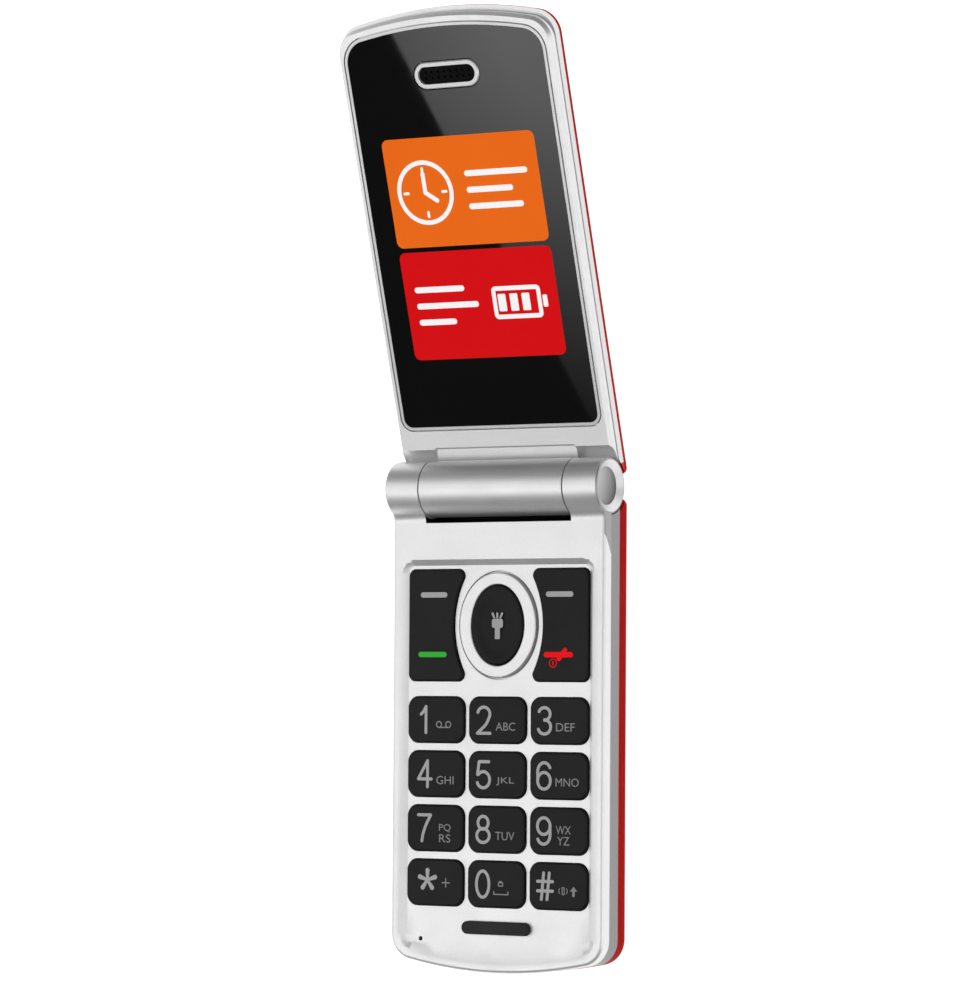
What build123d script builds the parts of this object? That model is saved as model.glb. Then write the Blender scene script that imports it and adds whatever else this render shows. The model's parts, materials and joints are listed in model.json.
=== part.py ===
"""Flip phone: a keypad half and a screen half on a barrel hinge, all pieces separate.

The phone lies open on its back. +X runs across it along the hinge, +Y from the keypad
towards the screen, +Z up out of the keypad. The origin is the middle of the flat back.
Lengths are millimetres. Plan sizes called "reach" are measured from the hinge axis.
"""
from build123d import *
import os
from math import atan2, cos, pi, radians, sin, sqrt

os.makedirs("parts", exist_ok=True)

# ---------------------------------------------------------------- overall sizes
body_w = 52.0             # width of both halves over their side walls
base_reach = 101.7        # hinge axis to the rounded end of the keypad half
lid_reach = 101.4         # hinge axis to the rounded end of the screen half
bezel_step = 0.85         # front bezel short of the screen half's end
end_arc_r = 105.0         # gentle arch of both ends
corner_r = 5.5            # plan corners of both halves
hinge_y = 52.0            # hinge axis, from the middle of the back
hinge_z = 8.5             # hinge axis above the table
open_angle = 162.5        # angle between the two faces when open

# ---------------------------------------------------------------- depths of the keypad half
cover_depth = 4.7         # red battery cover
frame_depth = 3.5         # grey middle band
face_depth = 2.6          # white front cover
field_drop = 0.7          # keypad field below the raised border
seam_z = cover_depth + frame_depth
face_z = seam_z + face_depth
field_z = face_z - field_drop

# ---------------------------------------------------------------- walls and clearances
wall = 1.3                # side walls of the moulded shells
ceiling = 0.9             # front cover under the keypad field
cover_wall = 1.2          # battery cover
edge_r = 0.8              # rounding of the front cover's edge
back_r = 2.4              # rounding of the covers' back edges
fit_gap = 0.3             # between pieces that move apart
seat_gap = 0.05           # between pieces of one body that seat on each other
run_gap = 0.05            # radial running clearance of the hinge
key_gap = 0.25            # around each key in its opening
inner_corner_r = 0.6      # least corner of an outline set inwards
tiny = 0.01               # selector tolerance

# ---------------------------------------------------------------- hinge
barrel_r = 6.0            # barrel and knuckles
barrel_half = 17.5        # half length of the lid's barrel
barrel_gap = 0.3          # between the barrel and each knuckle
trough_gap = 1.6          # from the barrel to the keypad half's trough
scoop_gap = 0.5           # from the knuckles to the lid's shoulders
lip_gap = 0.6             # from the barrel to both red covers
knuckle_edge_r = 0.5
fairing_r = 2.8           # fillet from a knuckle down to the face
fairing_edge_r = 0.6
cover_lip = 2.3           # the battery cover's lip ends this far short of the axis
lip_edge_r = 1.6
root_y = -4.6             # where the plates end inside the knuckles
block_reach = 12.3        # hinge block: from the axis to the seam with the middle band
closed_gap = 0.4          # face to face gap with the lid closed
lid_drop = face_z - hinge_z + closed_gap
end_cap_r = 3.95
end_cap_t = 0.6
end_cap_sink = 1.0        # end cap below the knuckle's rim
end_cap_dome = 0.5        # swell of the end cap's outer face
end_rim_w = 0.1           # flat rim left round the flare to the end cap
hinge_case_r = 3.4
hinge_case_wall = 0.6
hinge_case_x = 3.5        # inner end of the hinge case
shaft_r = 1.5
shaft_key = 3.6           # across the flats of the shaft's head in the knuckle
cam_gap = 0.2             # around the cam in the hinge case
cam_t = 1.6
cam_lobe = 0.45           # height of the lobes that hold the lid open and shut
follower_t = 2.4
spring_wire = 0.35
spring_turns = 5
pivot_r = 2.6
pivot_bore_r = 1.9
pivot_in = 5.5            # length of the pivot inside the barrel
pivot_skin = 0.4          # left between the pivot's bore and the end cap
flex_t = 0.2              # flat cable, rolled up round the pivot's bore
flex_slit = 1.2
flex_end = 1.0            # between the cable's roll and the hinge case
bore_wall = 0.8           # left between the cable's bore and the hinge case

# ---------------------------------------------------------------- keypad
rim_w = 2.0               # flat raised border
bevel_w = 1.7             # slope from the border down to the field
bevel_top_w = 1.25        # the same slope at the hinge end, steeper
field_start = 2.7         # hinge block's seam to the recess
field_corner_r = 3.2
key_r = 2.2
key_margin = 0.3          # slope's foot to the outer keys
key_space, row_space = 1.3, 1.93
key_row_gap = 3.53        # function keys to the upper row of number keys
key_end = 13.83           # rounded end to the lowest row
key_proud = 0.7           # key tops above the field
key_travel = 0.3
key_flange = 0.5          # flange that keeps a key under the cover
key_flange_t = 0.5
key_edge_r = 0.3
tip_rise = 0.2            # room above and below the flange of a key that tips
tip_flange_t = 0.4
nav_a, nav_b = 9.8, 11.5  # half axes of the ring's opening
nav_gap = 0.45            # around the ring in its opening
ok_a, ok_b = 6.27, 8.28   # half axes of the centre key
ok_proud = 0.8
ok_rim_w, ok_slope_w, ok_dish = 1.0, 1.7, 0.3    # rim, slope and depth of its dish
ok_flange_t = 0.35
plate_in, plate_w = 0.9, 0.9       # plate under the ring, outside the centre key
side_key_start = 2.2      # recess edge to the function keys
side_key_h = 23.35
side_key_in = 7.6         # inner corners
side_key_waist = 11.0     # inner edge beside the ring
side_key_r = 1.3
bumper_w, bumper_h = 16.4, 2.7
bumper_end = 9.4          # bumper to the rounded end
bumper_bed = 0.4          # depth of the bumper's bed in the field
bumper_clear = 0.05       # bumper top below the closed lid
bumper_edge_r = 0.2
mic_in, mic_end, mic_r = 7.1, 3.4, 0.5
mic_can_r = 1.9
slot_w, slot_l, slot_pitch, slot_count = 1.1, 6.0, 2.2, 6
notch_w, notch_in, notch_h = 12.0, 0.6, 1.2

# ---------------------------------------------------------------- inside the keypad half
mat_t = 0.35
plunger_h, plunger_r = 0.1, 1.3
dome_gap = 0.1
dome_h, dome_r, dome_slope = 0.15, 2.0, 60.0
dome_sheet_t = 0.1
board_t = 0.8
can_l, can_left_w, can_right_w, can_t, can_r = 15.0, 13.0, 15.0, 1.6, 0.5
can_split, can_start = 2.5, 4.4    # between the cans, board's upper edge to the cans
board_air = 0.6           # components between the board and the bay's roof
bay_roof_t = 0.7
well_l = 24.1             # well for the card holder, hinge block to the bay's wall
battery_w = 36.0
battery_r, battery_edge_r = 1.2, 0.8
battery_gap = 0.25        # battery above the cover
contact_x, contact_pitch, contact_w, contact_t = 10.0, 3.0, 1.4, 0.3
contact_h, contact_drop = 1.2, 1.4 # finger's height, bay's roof to the finger
contact_out = 1.0                  # bay's wall to the contacts' legs
sim_w, sim_l, sim_t = 14.0, 16.5, 1.4
sim_start = 4.0                    # bay's wall to the card holder
sim_rim, sim_card_t = 1.2, 0.8
bay_clear = 0.4           # around the battery
bay_end = 13.3            # rounded end to the battery bay
bay_wall = 1.2
foot_t = 0.8              # floor of the middle frame beside the bay
post_r, post_bore_r = 2.1, 0.8
boss_r = 2.7
screw_shank_r, screw_head_r, screw_head_t = 0.75, 1.5, 0.8
cross_l, cross_w, cross_depth = 1.5, 0.4, 0.4
screw_end = 1.0           # screw's tip below the ceiling
post_in, post_start = 6.0, 1.9     # upper posts, from the side and from the block's seam
post_low_in, post_end = 13.5, 5.3533   # lower posts, from the side and from the arch beside them
usb_w, usb_h, usb_depth = 8.94, 3.16, 7.35
usb_y = -30.0
usb_lift = 0.1            # above the middle of the band
usb_skin, usb_back = 0.3, 1.2
usb_tongue_w, usb_tongue_t = 6.64, 0.7
rocker_l, rocker_h, rocker_proud = 15.0, 1.9, 0.6
rocker_y = -58.0
rocker_flange = 0.6
rocker_flange_t = 0.4
rocker_edge_r = 0.25
speaker_w, speaker_l, speaker_t, speaker_r = 14.0, 8.0, 3.0, 1.0
speaker_end = 7.3
motor_r, motor_t = 3.2, 2.7
motor_in, motor_end = 7.0, 5.0
antenna_w, antenna_l, antenna_t = 4.8, 5.0, 3.2
antenna_in, antenna_end = 8.0, 5.0

# ---------------------------------------------------------------- screen half
bezel_depth = 2.2         # front frame
band_depth = 1.7          # light side band
back_depth = 2.4          # red back cover
lid_back_r, lid_lip_r = 2.0, 1.2
groove_in, groove_w = 0.4, 0.5
bezel_edge_w, bezel_edge_h = 0.65, 0.8
tongue_reach = 8.0        # front edge of the bezel between the knuckles
tongue_drop = 0.6
tongue_edge_r = 0.5
cheek_reach = 8.0         # coved cheeks over the knuckles: from the axis to their upper edge
cheek_drop = 1.5          # their depth at the scoop
cheek_sag = 0.25          # hollow of the cove
web_reach = 9.3           # web that carries the barrel
web_depth = 0.9           # web behind the front frame
bridge_w = 2.1            # side band's bar across the lid beyond the web
shoulder_root = 1.6
lip_reach = 0.6           # the back cover's lip ends this far past the axis
window_side, window_end = 2.2, 2.65 # bezel beside and beyond the window
window_low = 12.95
window_low_r, window_top_r = 2.0, 5.0
window_t = 0.8
window_sink = 0.05
trim_w = 0.6
trim_groove = 0.3         # between the bezel and the trim
trim_t = 1.0
display_side, display_start = 2.5, 9.2   # window's edges to the display
display_t = 2.1
display_gap = 4.35        # display to the receiver
ear_drop = 10.1           # window's top to the earpiece
ear_w, ear_h = 15.7, 5.6
ear_ring_w = 0.95
ear_groove = 0.25         # between the window and the ring
ear_proud = 0.12
ear_edge = 0.2
mesh_t, mesh_hole_r = 0.5, 0.3
mesh_pitch_x, mesh_pitch_y, mesh_columns, mesh_rows = 1.5, 1.2, 8, 2
receiver_w, receiver_h, receiver_r = 12.0, 6.0, 1.0
lid_board_t = 0.5
lid_board_side, lid_board_start, lid_board_end = 3.8, 5.7, 6.9
camera_drop = 13.4        # bezel's end to the camera
camera_size, camera_lens_r = 7.5, 3.2
camera_t = 1.0
torch_x, torch_r = 10.0, 1.9
magnet_w, magnet_h, magnet_t = 5.0, 3.0, 1.4
magnet_in, magnet_drop = 12.0, 4.5
lid_post_in, lid_post_low, lid_post_drop = 2.9, 14.0, 9.9
lid_screw_r, lid_screw_head_r, lid_screw_head_t = 0.6, 1.1, 0.7
lid_screw_bite = 0.8

# ---------------------------------------------------------------- derived levels
tilt = radians(180.0 - open_angle)
half_w = body_w / 2
bezel_reach = lid_reach - bezel_step
end_sag = end_arc_r - sqrt(end_arc_r**2 - half_w**2)   # arch of the ends
trough_r = barrel_r + trough_gap
scoop_r = barrel_r + scoop_gap
lip_r = barrel_r + lip_gap
field_top = -(block_reach + field_start)
side_key_x = half_w - rim_w - bevel_w - key_margin
key_w = 2 * (side_key_x - key_space) / 3
key_pitch_x = key_w + key_space
side_key_top = field_top - side_key_start
side_key_low = side_key_top - side_key_h
nav_y = (side_key_top + side_key_low) / 2
key_h = (base_reach - key_end + side_key_low - key_row_gap - 3 * row_space) / 4
key_pitch_y = key_h + row_space
key_row_y = side_key_low - key_row_gap - key_h / 2
bumper_y = bumper_end - base_reach
speaker_y = speaker_end - base_reach
mic_spot = (mic_in - half_w, end_sag + mic_end - base_reach)
motor_spot = (half_w - motor_in, end_sag + motor_end - base_reach)
antenna_spot = (antenna_in - half_w, end_sag + antenna_end - base_reach)
bay_top, bay_low = -(block_reach + well_l + bay_wall), bay_end - base_reach
bay_y = (bay_top + bay_low) / 2
bay_half = battery_w / 2 + bay_clear
battery_l = bay_top - bay_low - 2 * bay_clear
posts = [(side * (half_w - post_in), -block_reach - post_start) for side in (-1, 1)]
post_low_x = half_w - post_low_in
post_low_y = end_arc_r - sqrt(end_arc_r**2 - post_low_x**2) + post_end - base_reach
posts += [(side * post_low_x, post_low_y) for side in (-1, 1)]
window_half = half_w - window_side
window_top = bezel_reach - window_end
ear_v = window_top - ear_drop
display_w = 2 * (window_half - display_side)
display_low = window_low + display_start
display_high = ear_v - receiver_h / 2 - display_gap
display_v, display_l = (display_low + display_high) / 2, display_high - display_low
camera_v = bezel_reach - camera_drop
lid_posts = [(side * (half_w - lid_post_in), v) for side in (-1, 1)
             for v in (lid_post_low, bezel_reach - lid_post_drop)]
knuckle_in = barrel_half + barrel_gap
pivot_out = half_w - knuckle_in - end_cap_sink - end_cap_t - pivot_skin
face_h = face_z - hinge_z          # face above the hinge axis
ceiling_z = field_z - ceiling
key_top = field_z + key_proud
flange_top = ceiling_z - seat_gap
key_bottom = flange_top - key_flange_t
tip_top = ceiling_z - tip_rise - seat_gap
tip_bottom = tip_top - tip_flange_t
mat_top = key_bottom - key_travel - seat_gap
mat_bottom = mat_top - mat_t
sheet_top = mat_bottom - plunger_h - dome_gap - dome_h
board_top = sheet_top - dome_sheet_t
board_bottom = board_top - board_t
roof_z = board_bottom - board_air  # top of the bay's roof
bay_z = roof_z - bay_roof_t        # underside of the bay's roof
battery_t = bay_z - seat_gap - cover_wall - battery_gap
usb_z = cover_depth + frame_depth / 2 + usb_lift
rocker_z = cover_depth + frame_depth / 2
foot_z = cover_wall + seat_gap * 4 # underside of the middle frame
deck_z = foot_z + foot_t
skirt_in = cover_wall + fit_gap    # middle frame inside the battery cover
lid_front = -lid_drop              # levels along the lid's own normal, from the axis
bezel_back = lid_front - bezel_depth
band_back = bezel_back - band_depth
lid_back = band_back - back_depth
pocket_w = lid_front - trim_t - seat_gap
web_front = lid_front - tongue_drop
cheek_w = lid_front - cheek_drop
lid_normal = Axis((0, 0, 0), (0, -sin(tilt), cos(tilt)))
hinge_axis = Axis((0, hinge_y, hinge_z), (1, 0, 0))
hinge_section = Plane(origin=(0, hinge_y, hinge_z), x_dir=(1, 0, 0), z_dir=(0, -1, 0))


# ---------------------------------------------------------------- planes and outlines
def base_plane(z):
    """Plan plane of the keypad half at height z, its origin on the hinge axis."""
    return Plane(origin=(0, hinge_y, z), x_dir=(1, 0, 0), z_dir=(0, 0, 1))


def base_side(x):
    """Side plane of the keypad half at x: local x runs towards +Y, local y up."""
    return Plane(origin=(x, hinge_y, hinge_z), x_dir=(0, 1, 0), z_dir=(1, 0, 0))


def wall_plane(depth, y, z):
    """Plane inside the left wall at a depth, centred y from the hinge axis and z up."""
    return Plane(origin=(depth - half_w, hinge_y + y, z), x_dir=(0, 1, 0), z_dir=(1, 0, 0))


def lid_plane(w):
    """Plan plane of the lid, w in front of the hinge axis along the lid's normal."""
    normal = (0, -sin(tilt), cos(tilt))
    origin = (0, hinge_y + w * normal[1], hinge_z + w * normal[2])
    return Plane(origin=origin, x_dir=(1, 0, 0), z_dir=normal)


def lid_side(x):
    """Side plane of the lid at x: local x runs up the lid, local y along its normal."""
    return Plane(origin=(x, hinge_y, hinge_z), x_dir=(0, cos(tilt), sin(tilt)), z_dir=(1, 0, 0))


def end_outline(reach, toward, near, inset=0.0):
    """Plan outline of a half: straight sides, one gently arched end, near edge straight."""
    half = half_w - inset
    radius = end_arc_r - inset
    centre = toward * (reach - end_arc_r)
    side = centre + toward * sqrt(radius**2 - half**2)
    with BuildLine() as outline:
        ThreePointArc((-half, side), (0, centre + toward * radius), (half, side))
        Polyline((half, side), (half, near), (-half, near), (-half, side))
    make_face(outline.edges())
    ends = vertices().group_by(Axis.Y)[0 if toward < 0 else -1]
    fillet(ends, max(corner_r - inset, inner_corner_r))


def round_near_corners(toward, radius):
    """Round the two corners at the hinge end of the outline drawn last."""
    fillet(vertices().group_by(Axis.Y)[-1 if toward < 0 else 0], radius)


def window_outline(grow):
    """Outline of the display window, grown all round."""
    half = window_half + grow
    radius = end_arc_r + grow
    centre = window_top - end_arc_r
    side = centre + sqrt(radius**2 - half**2)
    low = window_low - grow
    with BuildLine() as outline:
        ThreePointArc((-half, side), (0, centre + radius), (half, side))
        Polyline((half, side), (half, low), (-half, low), (-half, side))
    make_face(outline.edges())
    fillet(vertices().group_by(Axis.Y)[-1], window_top_r + grow)
    fillet(vertices().group_by(Axis.Y)[0], window_low_r + grow)


def side_key_outline(side, grow):
    """Outline of a function key: square outside, hollowed beside the navigation ring."""
    middle = (side_key_top + side_key_low) / 2
    with BuildLine() as outline:
        ThreePointArc((side * side_key_in, side_key_top), (side * side_key_waist, middle),
                      (side * side_key_in, side_key_low))
        Polyline((side * side_key_in, side_key_low), (side * side_key_x, side_key_low),
                 (side * side_key_x, side_key_top), (side * side_key_in, side_key_top))
    make_face(outline.edges())
    fillet(vertices(), side_key_r)
    if grow:
        offset(amount=grow, kind=Kind.ARC)


def edges_at(z):
    """Edges of the part being built that lie at height z."""
    return edges().filter_by_position(Axis.Z, z - tiny, z + tiny)


def save(part, name):
    """Label a finished piece and write it."""
    part.label = name
    export_step(part, f"parts/{name}.step")


key_names = [["1", "2", "3"], ["4", "5", "6"], ["7", "8", "9"], ["star", "0", "hash"]]
key_spots = {}
for row, row_names in enumerate(key_names):
    for column, key_name in enumerate(row_names):
        key_spots[key_name] = ((column - 1) * key_pitch_x, key_row_y - row * key_pitch_y)

# ---------------------------------------------------------------- front cover
fairing_h = face_h + fairing_r
fairing_y = -sqrt((barrel_r + fairing_r)**2 - fairing_h**2)
fairing_k = barrel_r / (barrel_r + fairing_r)
fairing_turn = (pi / 2 - atan2(fairing_h, -fairing_y)) / 2
with BuildPart() as front_cover:
    with BuildSketch(base_plane(seam_z)):
        end_outline(base_reach, -1, root_y)
    extrude(amount=face_depth)
    fillet(edges_at(face_z).sort_by(Axis.Y)[:-1], edge_r)
    # fairings that rise from the face to the knuckles
    for side in (-1, 1):
        with BuildSketch(base_side(side * knuckle_in)):
            with BuildLine():
                low = (fairing_y, face_h)
                high = (fairing_y * fairing_k, fairing_h * fairing_k)
                bend = (fairing_y + fairing_r * sin(fairing_turn),
                        fairing_h - fairing_r * cos(fairing_turn))
                ThreePointArc(low, bend, high)
                Polyline(high, (0, 0), (fairing_y, 0), low)
            make_face()
        extrude(amount=side * (half_w - knuckle_in))
    fillet(edges().filter_by(
        lambda edge: edge.geom_type == GeomType.CIRCLE and abs(edge.radius - fairing_r) < tiny
        and abs(edge.center().X) > half_w - tiny), fairing_edge_r)
    # hinge block down to the battery cover
    with BuildSketch(base_plane(cover_depth)):
        with Locations((0, (root_y - block_reach) / 2)):
            Rectangle(body_w - 2 * (wall + seat_gap), root_y + block_reach)
    extrude(amount=frame_depth)
    # knuckles with rounded rims
    for side in (-1, 1):
        with BuildSketch(hinge_section):
            with Locations((side * (knuckle_in + half_w) / 2, barrel_r / 2)):
                Rectangle(half_w - knuckle_in, barrel_r)
            fillet(vertices().group_by(Axis.Y)[-1].sort_by(Axis.X)[0 if side < 0 else -1],
                   knuckle_edge_r)
        revolve(axis=hinge_axis)
    # trough around the lid's barrel
    with BuildSketch(base_side(-knuckle_in)):
        Circle(trough_r)
    extrude(amount=2 * knuckle_in, mode=Mode.SUBTRACT)
    # hollow under the keypad
    with BuildSketch(base_plane(seam_z)):
        end_outline(base_reach, -1, -block_reach, wall)
    extrude(amount=ceiling_z - seam_z, mode=Mode.SUBTRACT)
    # hollow in the hinge block, behind the trough's wall
    with BuildSketch(base_side(-half_w + 2 * wall)):
        with BuildLine():
            Polyline((-block_reach, cover_depth - hinge_z), (root_y, cover_depth - hinge_z),
                     (root_y, ceiling_z - hinge_z), (-block_reach, ceiling_z - hinge_z),
                     close=True)
        make_face()
        Circle(trough_r + wall, mode=Mode.SUBTRACT)
    extrude(amount=body_w - 4 * wall, mode=Mode.SUBTRACT)
    # keypad field below the border
    with BuildSketch(base_plane(field_z)):
        end_outline(base_reach, -1, field_top - bevel_top_w, rim_w + bevel_w)
        round_near_corners(-1, field_corner_r - bevel_w)
    with BuildSketch(base_plane(face_z)):
        end_outline(base_reach, -1, field_top, rim_w)
        round_near_corners(-1, field_corner_r)
    loft(mode=Mode.SUBTRACT, ruled=True)
    # key openings
    with BuildSketch(base_plane(ceiling_z)):
        with Locations(*key_spots.values()):
            RectangleRounded(key_w + 2 * key_gap, key_h + 2 * key_gap, key_r + key_gap)
        with Locations((0, nav_y)):
            Ellipse(nav_a, nav_b)
    extrude(amount=ceiling + tiny, mode=Mode.SUBTRACT)
    for side in (-1, 1):
        with BuildSketch(base_plane(ceiling_z)):
            side_key_outline(side, key_gap)
        extrude(amount=ceiling + tiny, mode=Mode.SUBTRACT)
    # bumper bed, microphone hole
    with BuildSketch(base_plane(field_z - bumper_bed)):
        with Locations((0, bumper_y)):
            SlotOverall(bumper_w + 2 * seat_gap, bumper_h + 2 * seat_gap)
    extrude(amount=bumper_bed + tiny, mode=Mode.SUBTRACT)
    with BuildSketch(base_plane(ceiling_z)):
        with Locations(mic_spot):
            Circle(mic_r)
    extrude(amount=ceiling + tiny, mode=Mode.SUBTRACT)
    # screw posts
    post_z = roof_z + seat_gap
    with BuildSketch(base_plane(post_z)):
        with Locations(*posts):
            Circle(post_r)
            Circle(post_bore_r, mode=Mode.SUBTRACT)
    extrude(amount=ceiling_z - post_z)
    # flared end cap seats, shaft socket on the right, pivot bore on the left
    for side in (-1, 1):
        with BuildSketch(base_side(side * half_w)):
            Circle(end_cap_r + seat_gap)
        extrude(amount=-side * (end_cap_sink + end_cap_t), mode=Mode.SUBTRACT)
        with BuildSketch(base_side(side * half_w)):
            Circle(barrel_r - knuckle_edge_r - end_rim_w)
        with BuildSketch(base_side(side * (half_w - end_cap_sink))):
            Circle(end_cap_r + seat_gap)
        loft(mode=Mode.SUBTRACT, ruled=True)
    with BuildSketch(base_side(knuckle_in)):
        RectangleRounded(shaft_key + 2 * seat_gap, shaft_key + 2 * seat_gap, key_edge_r)
    extrude(amount=pivot_out, mode=Mode.SUBTRACT)
    with BuildSketch(base_side(-knuckle_in)):
        Circle(pivot_r + seat_gap)
    extrude(amount=-pivot_out, mode=Mode.SUBTRACT)
save(front_cover.part, "front_cover")

# ---------------------------------------------------------------- middle frame
contact_z = bay_z - contact_drop - contact_h
with BuildPart() as mid_frame:
    with BuildSketch(base_plane(cover_depth)):
        end_outline(base_reach, -1, -block_reach - seat_gap)
    extrude(amount=frame_depth)
    with BuildSketch(base_plane(foot_z)):
        end_outline(base_reach, -1, -block_reach - seat_gap, skirt_in)
    extrude(amount=cover_depth - foot_z)
    # arms beside the hinge block, up to the knuckles
    for side in (-1, 1):
        with BuildSketch(base_side(side * half_w)):
            with BuildLine():
                Polyline((-block_reach - wall, cover_depth - hinge_z), (root_y, cover_depth - hinge_z),
                         (root_y, seam_z - hinge_z), (-block_reach - wall, seam_z - hinge_z),
                         close=True)
            make_face()
            Circle(barrel_r + seat_gap, mode=Mode.SUBTRACT)
        extrude(amount=-side * wall)
    # tray for the board over the bay's roof
    with BuildSketch(base_plane(roof_z)):
        end_outline(base_reach, -1, -block_reach, wall)
    extrude(amount=seam_z - roof_z, mode=Mode.SUBTRACT)
    # deep wells above and below the battery bay
    with BuildSketch(base_plane(deck_z)):
        end_outline(base_reach, -1, -block_reach, skirt_in + wall)
        with Locations((0, bay_y)):
            Rectangle(body_w, bay_top - bay_low + 2 * bay_wall, mode=Mode.SUBTRACT)
    extrude(amount=roof_z - deck_z, mode=Mode.SUBTRACT)
    # battery bay, open at the back, with a lighter relief each side of it
    with BuildSketch(base_plane(foot_z)):
        with Locations((0, bay_y)):
            RectangleRounded(2 * bay_half, bay_top - bay_low, battery_r)
    extrude(amount=bay_z - foot_z, mode=Mode.SUBTRACT)
    relief_w = half_w - skirt_in - bay_half - 2 * bay_wall
    with BuildSketch(base_plane(foot_z)):
        for side in (-1, 1):
            with Locations((side * (bay_half + bay_wall + relief_w / 2), bay_y)):
                Rectangle(relief_w, bay_top - bay_low)
    extrude(amount=bay_z - foot_z, mode=Mode.SUBTRACT)
    # screw bosses with counterbores from the back
    with BuildSketch(base_plane(foot_z)):
        with Locations(*posts):
            Circle(boss_r)
    extrude(amount=roof_z - foot_z)
    with BuildSketch(base_plane(foot_z)):
        with Locations(*posts):
            Circle(screw_shank_r + fit_gap / 2)
    extrude(amount=roof_z - foot_z, mode=Mode.SUBTRACT)
    with BuildSketch(base_plane(foot_z)):
        with Locations(*posts):
            Circle(screw_head_r + fit_gap / 2)
    extrude(amount=screw_head_t + fit_gap, mode=Mode.SUBTRACT)
    # charging socket and volume rocker openings in the left wall
    with BuildSketch(base_plane(usb_z - usb_h / 2 - seat_gap)):
        with Locations((-half_w + wall, usb_y)):
            Rectangle(4 * wall, usb_w + 2 * seat_gap)
    extrude(amount=frame_depth, mode=Mode.SUBTRACT)
    with BuildSketch(base_plane(rocker_z - rocker_h / 2 - key_gap)):
        with Locations((-half_w + wall, rocker_y)):
            Rectangle(4 * wall, rocker_l + 2 * key_gap)
    extrude(amount=rocker_h + 2 * key_gap, mode=Mode.SUBTRACT)
    with BuildSketch(base_plane(rocker_z - rocker_h / 2 - key_flange / 2 - key_gap)):
        with Locations((wall - half_w, rocker_y)):
            Rectangle(2 * (rocker_flange_t + 2 * fit_gap), rocker_l + 2 * (rocker_flange + fit_gap))
        with Locations((wall / 2 - half_w, rocker_y)):
            Rectangle(wall, body_w, mode=Mode.SUBTRACT)
    extrude(amount=frame_depth, mode=Mode.SUBTRACT)
    # slots in the bay's wall for the battery contacts
    with BuildSketch(base_plane(contact_z - seat_gap)):
        with Locations((contact_x, bay_top + bay_wall / 2)):
            with GridLocations(contact_pitch, bay_wall, 3, 1):
                Rectangle(contact_w + 2 * seat_gap, bay_wall + 2 * tiny)
    extrude(amount=contact_h + 2 * seat_gap, mode=Mode.SUBTRACT)
save(mid_frame.part, "mid_frame")

# ---------------------------------------------------------------- battery cover
with BuildPart() as battery_cover:
    with BuildSketch(base_plane(0)):
        end_outline(base_reach, -1, -cover_lip)
    extrude(amount=cover_depth)
    back_edges = edges_at(0).sort_by(Axis.Y)
    fillet(back_edges[:-1], back_r)
    fillet(edges_at(0).sort_by(Axis.Y)[-1], lip_edge_r)
    with BuildSketch(base_side(-half_w)):
        Circle(lip_r)
    extrude(amount=body_w, mode=Mode.SUBTRACT)
    with BuildSketch(base_plane(cover_wall)):
        end_outline(base_reach, -1, -trough_r, cover_wall)
    extrude(amount=cover_depth - cover_wall, mode=Mode.SUBTRACT)
    # sound slots under the loudspeaker
    with BuildSketch(base_plane(0)):
        with Locations((0, speaker_y)):
            with GridLocations(slot_pitch, slot_l, slot_count, 1):
                SlotOverall(slot_l, slot_w, rotation=90)
    extrude(amount=cover_wall, mode=Mode.SUBTRACT)
    # finger notch at the rounded end
    with BuildSketch(base_plane(cover_depth)):
        with Locations((0, -base_reach)):
            SlotOverall(notch_w, 2 * notch_in)
    extrude(amount=-notch_h, mode=Mode.SUBTRACT)
save(battery_cover.part, "battery_cover")

# ---------------------------------------------------------------- number keys
for key_name, spot in key_spots.items():
    with BuildPart() as key:
        with BuildSketch(base_plane(key_bottom)):
            with Locations(spot):
                RectangleRounded(key_w, key_h, key_r)
        extrude(amount=key_top - key_bottom)
        fillet(edges_at(key_top), key_edge_r)
        with BuildSketch(base_plane(key_bottom)):
            with Locations(spot):
                RectangleRounded(key_w + 2 * key_flange, key_h + 2 * key_flange, key_r)
        extrude(amount=key_flange_t)
    save(key.part, f"key_{key_name}")

# ---------------------------------------------------------------- function keys
for side, side_name in ((-1, "left"), (1, "right")):
    with BuildPart() as side_key:
        with BuildSketch(base_plane(tip_bottom)):
            side_key_outline(side, 0)
        extrude(amount=key_top - tip_bottom)
        fillet(edges_at(key_top), key_edge_r)
        with BuildSketch(base_plane(tip_bottom)):
            side_key_outline(side, key_flange)
        extrude(amount=tip_flange_t)
    save(side_key.part, f"function_key_{side_name}")

# ---------------------------------------------------------------- navigation ring and centre key
ring_in_a, ring_in_b = ok_a + key_gap, ok_b + key_gap
with BuildPart() as nav_ring:
    with BuildSketch(base_plane(tip_bottom)):
        with Locations((0, nav_y)):
            Ellipse(nav_a - nav_gap, nav_b - nav_gap)
    extrude(amount=key_top - tip_bottom)
    fillet(edges_at(key_top), key_edge_r)
    with BuildSketch(base_plane(tip_bottom)):
        with Locations((0, nav_y)):
            Ellipse(nav_a + key_flange / 2, nav_b + key_flange / 2)
    extrude(amount=tip_flange_t)
    with BuildSketch(base_plane(tip_bottom)):
        with Locations((0, nav_y)):
            Ellipse(ring_in_a, ring_in_b)
    extrude(amount=key_top - tip_bottom, mode=Mode.SUBTRACT)
    fillet(edges_at(key_top).sort_by(SortBy.LENGTH)[0], key_edge_r)
save(nav_ring.part, "nav_ring")

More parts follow.
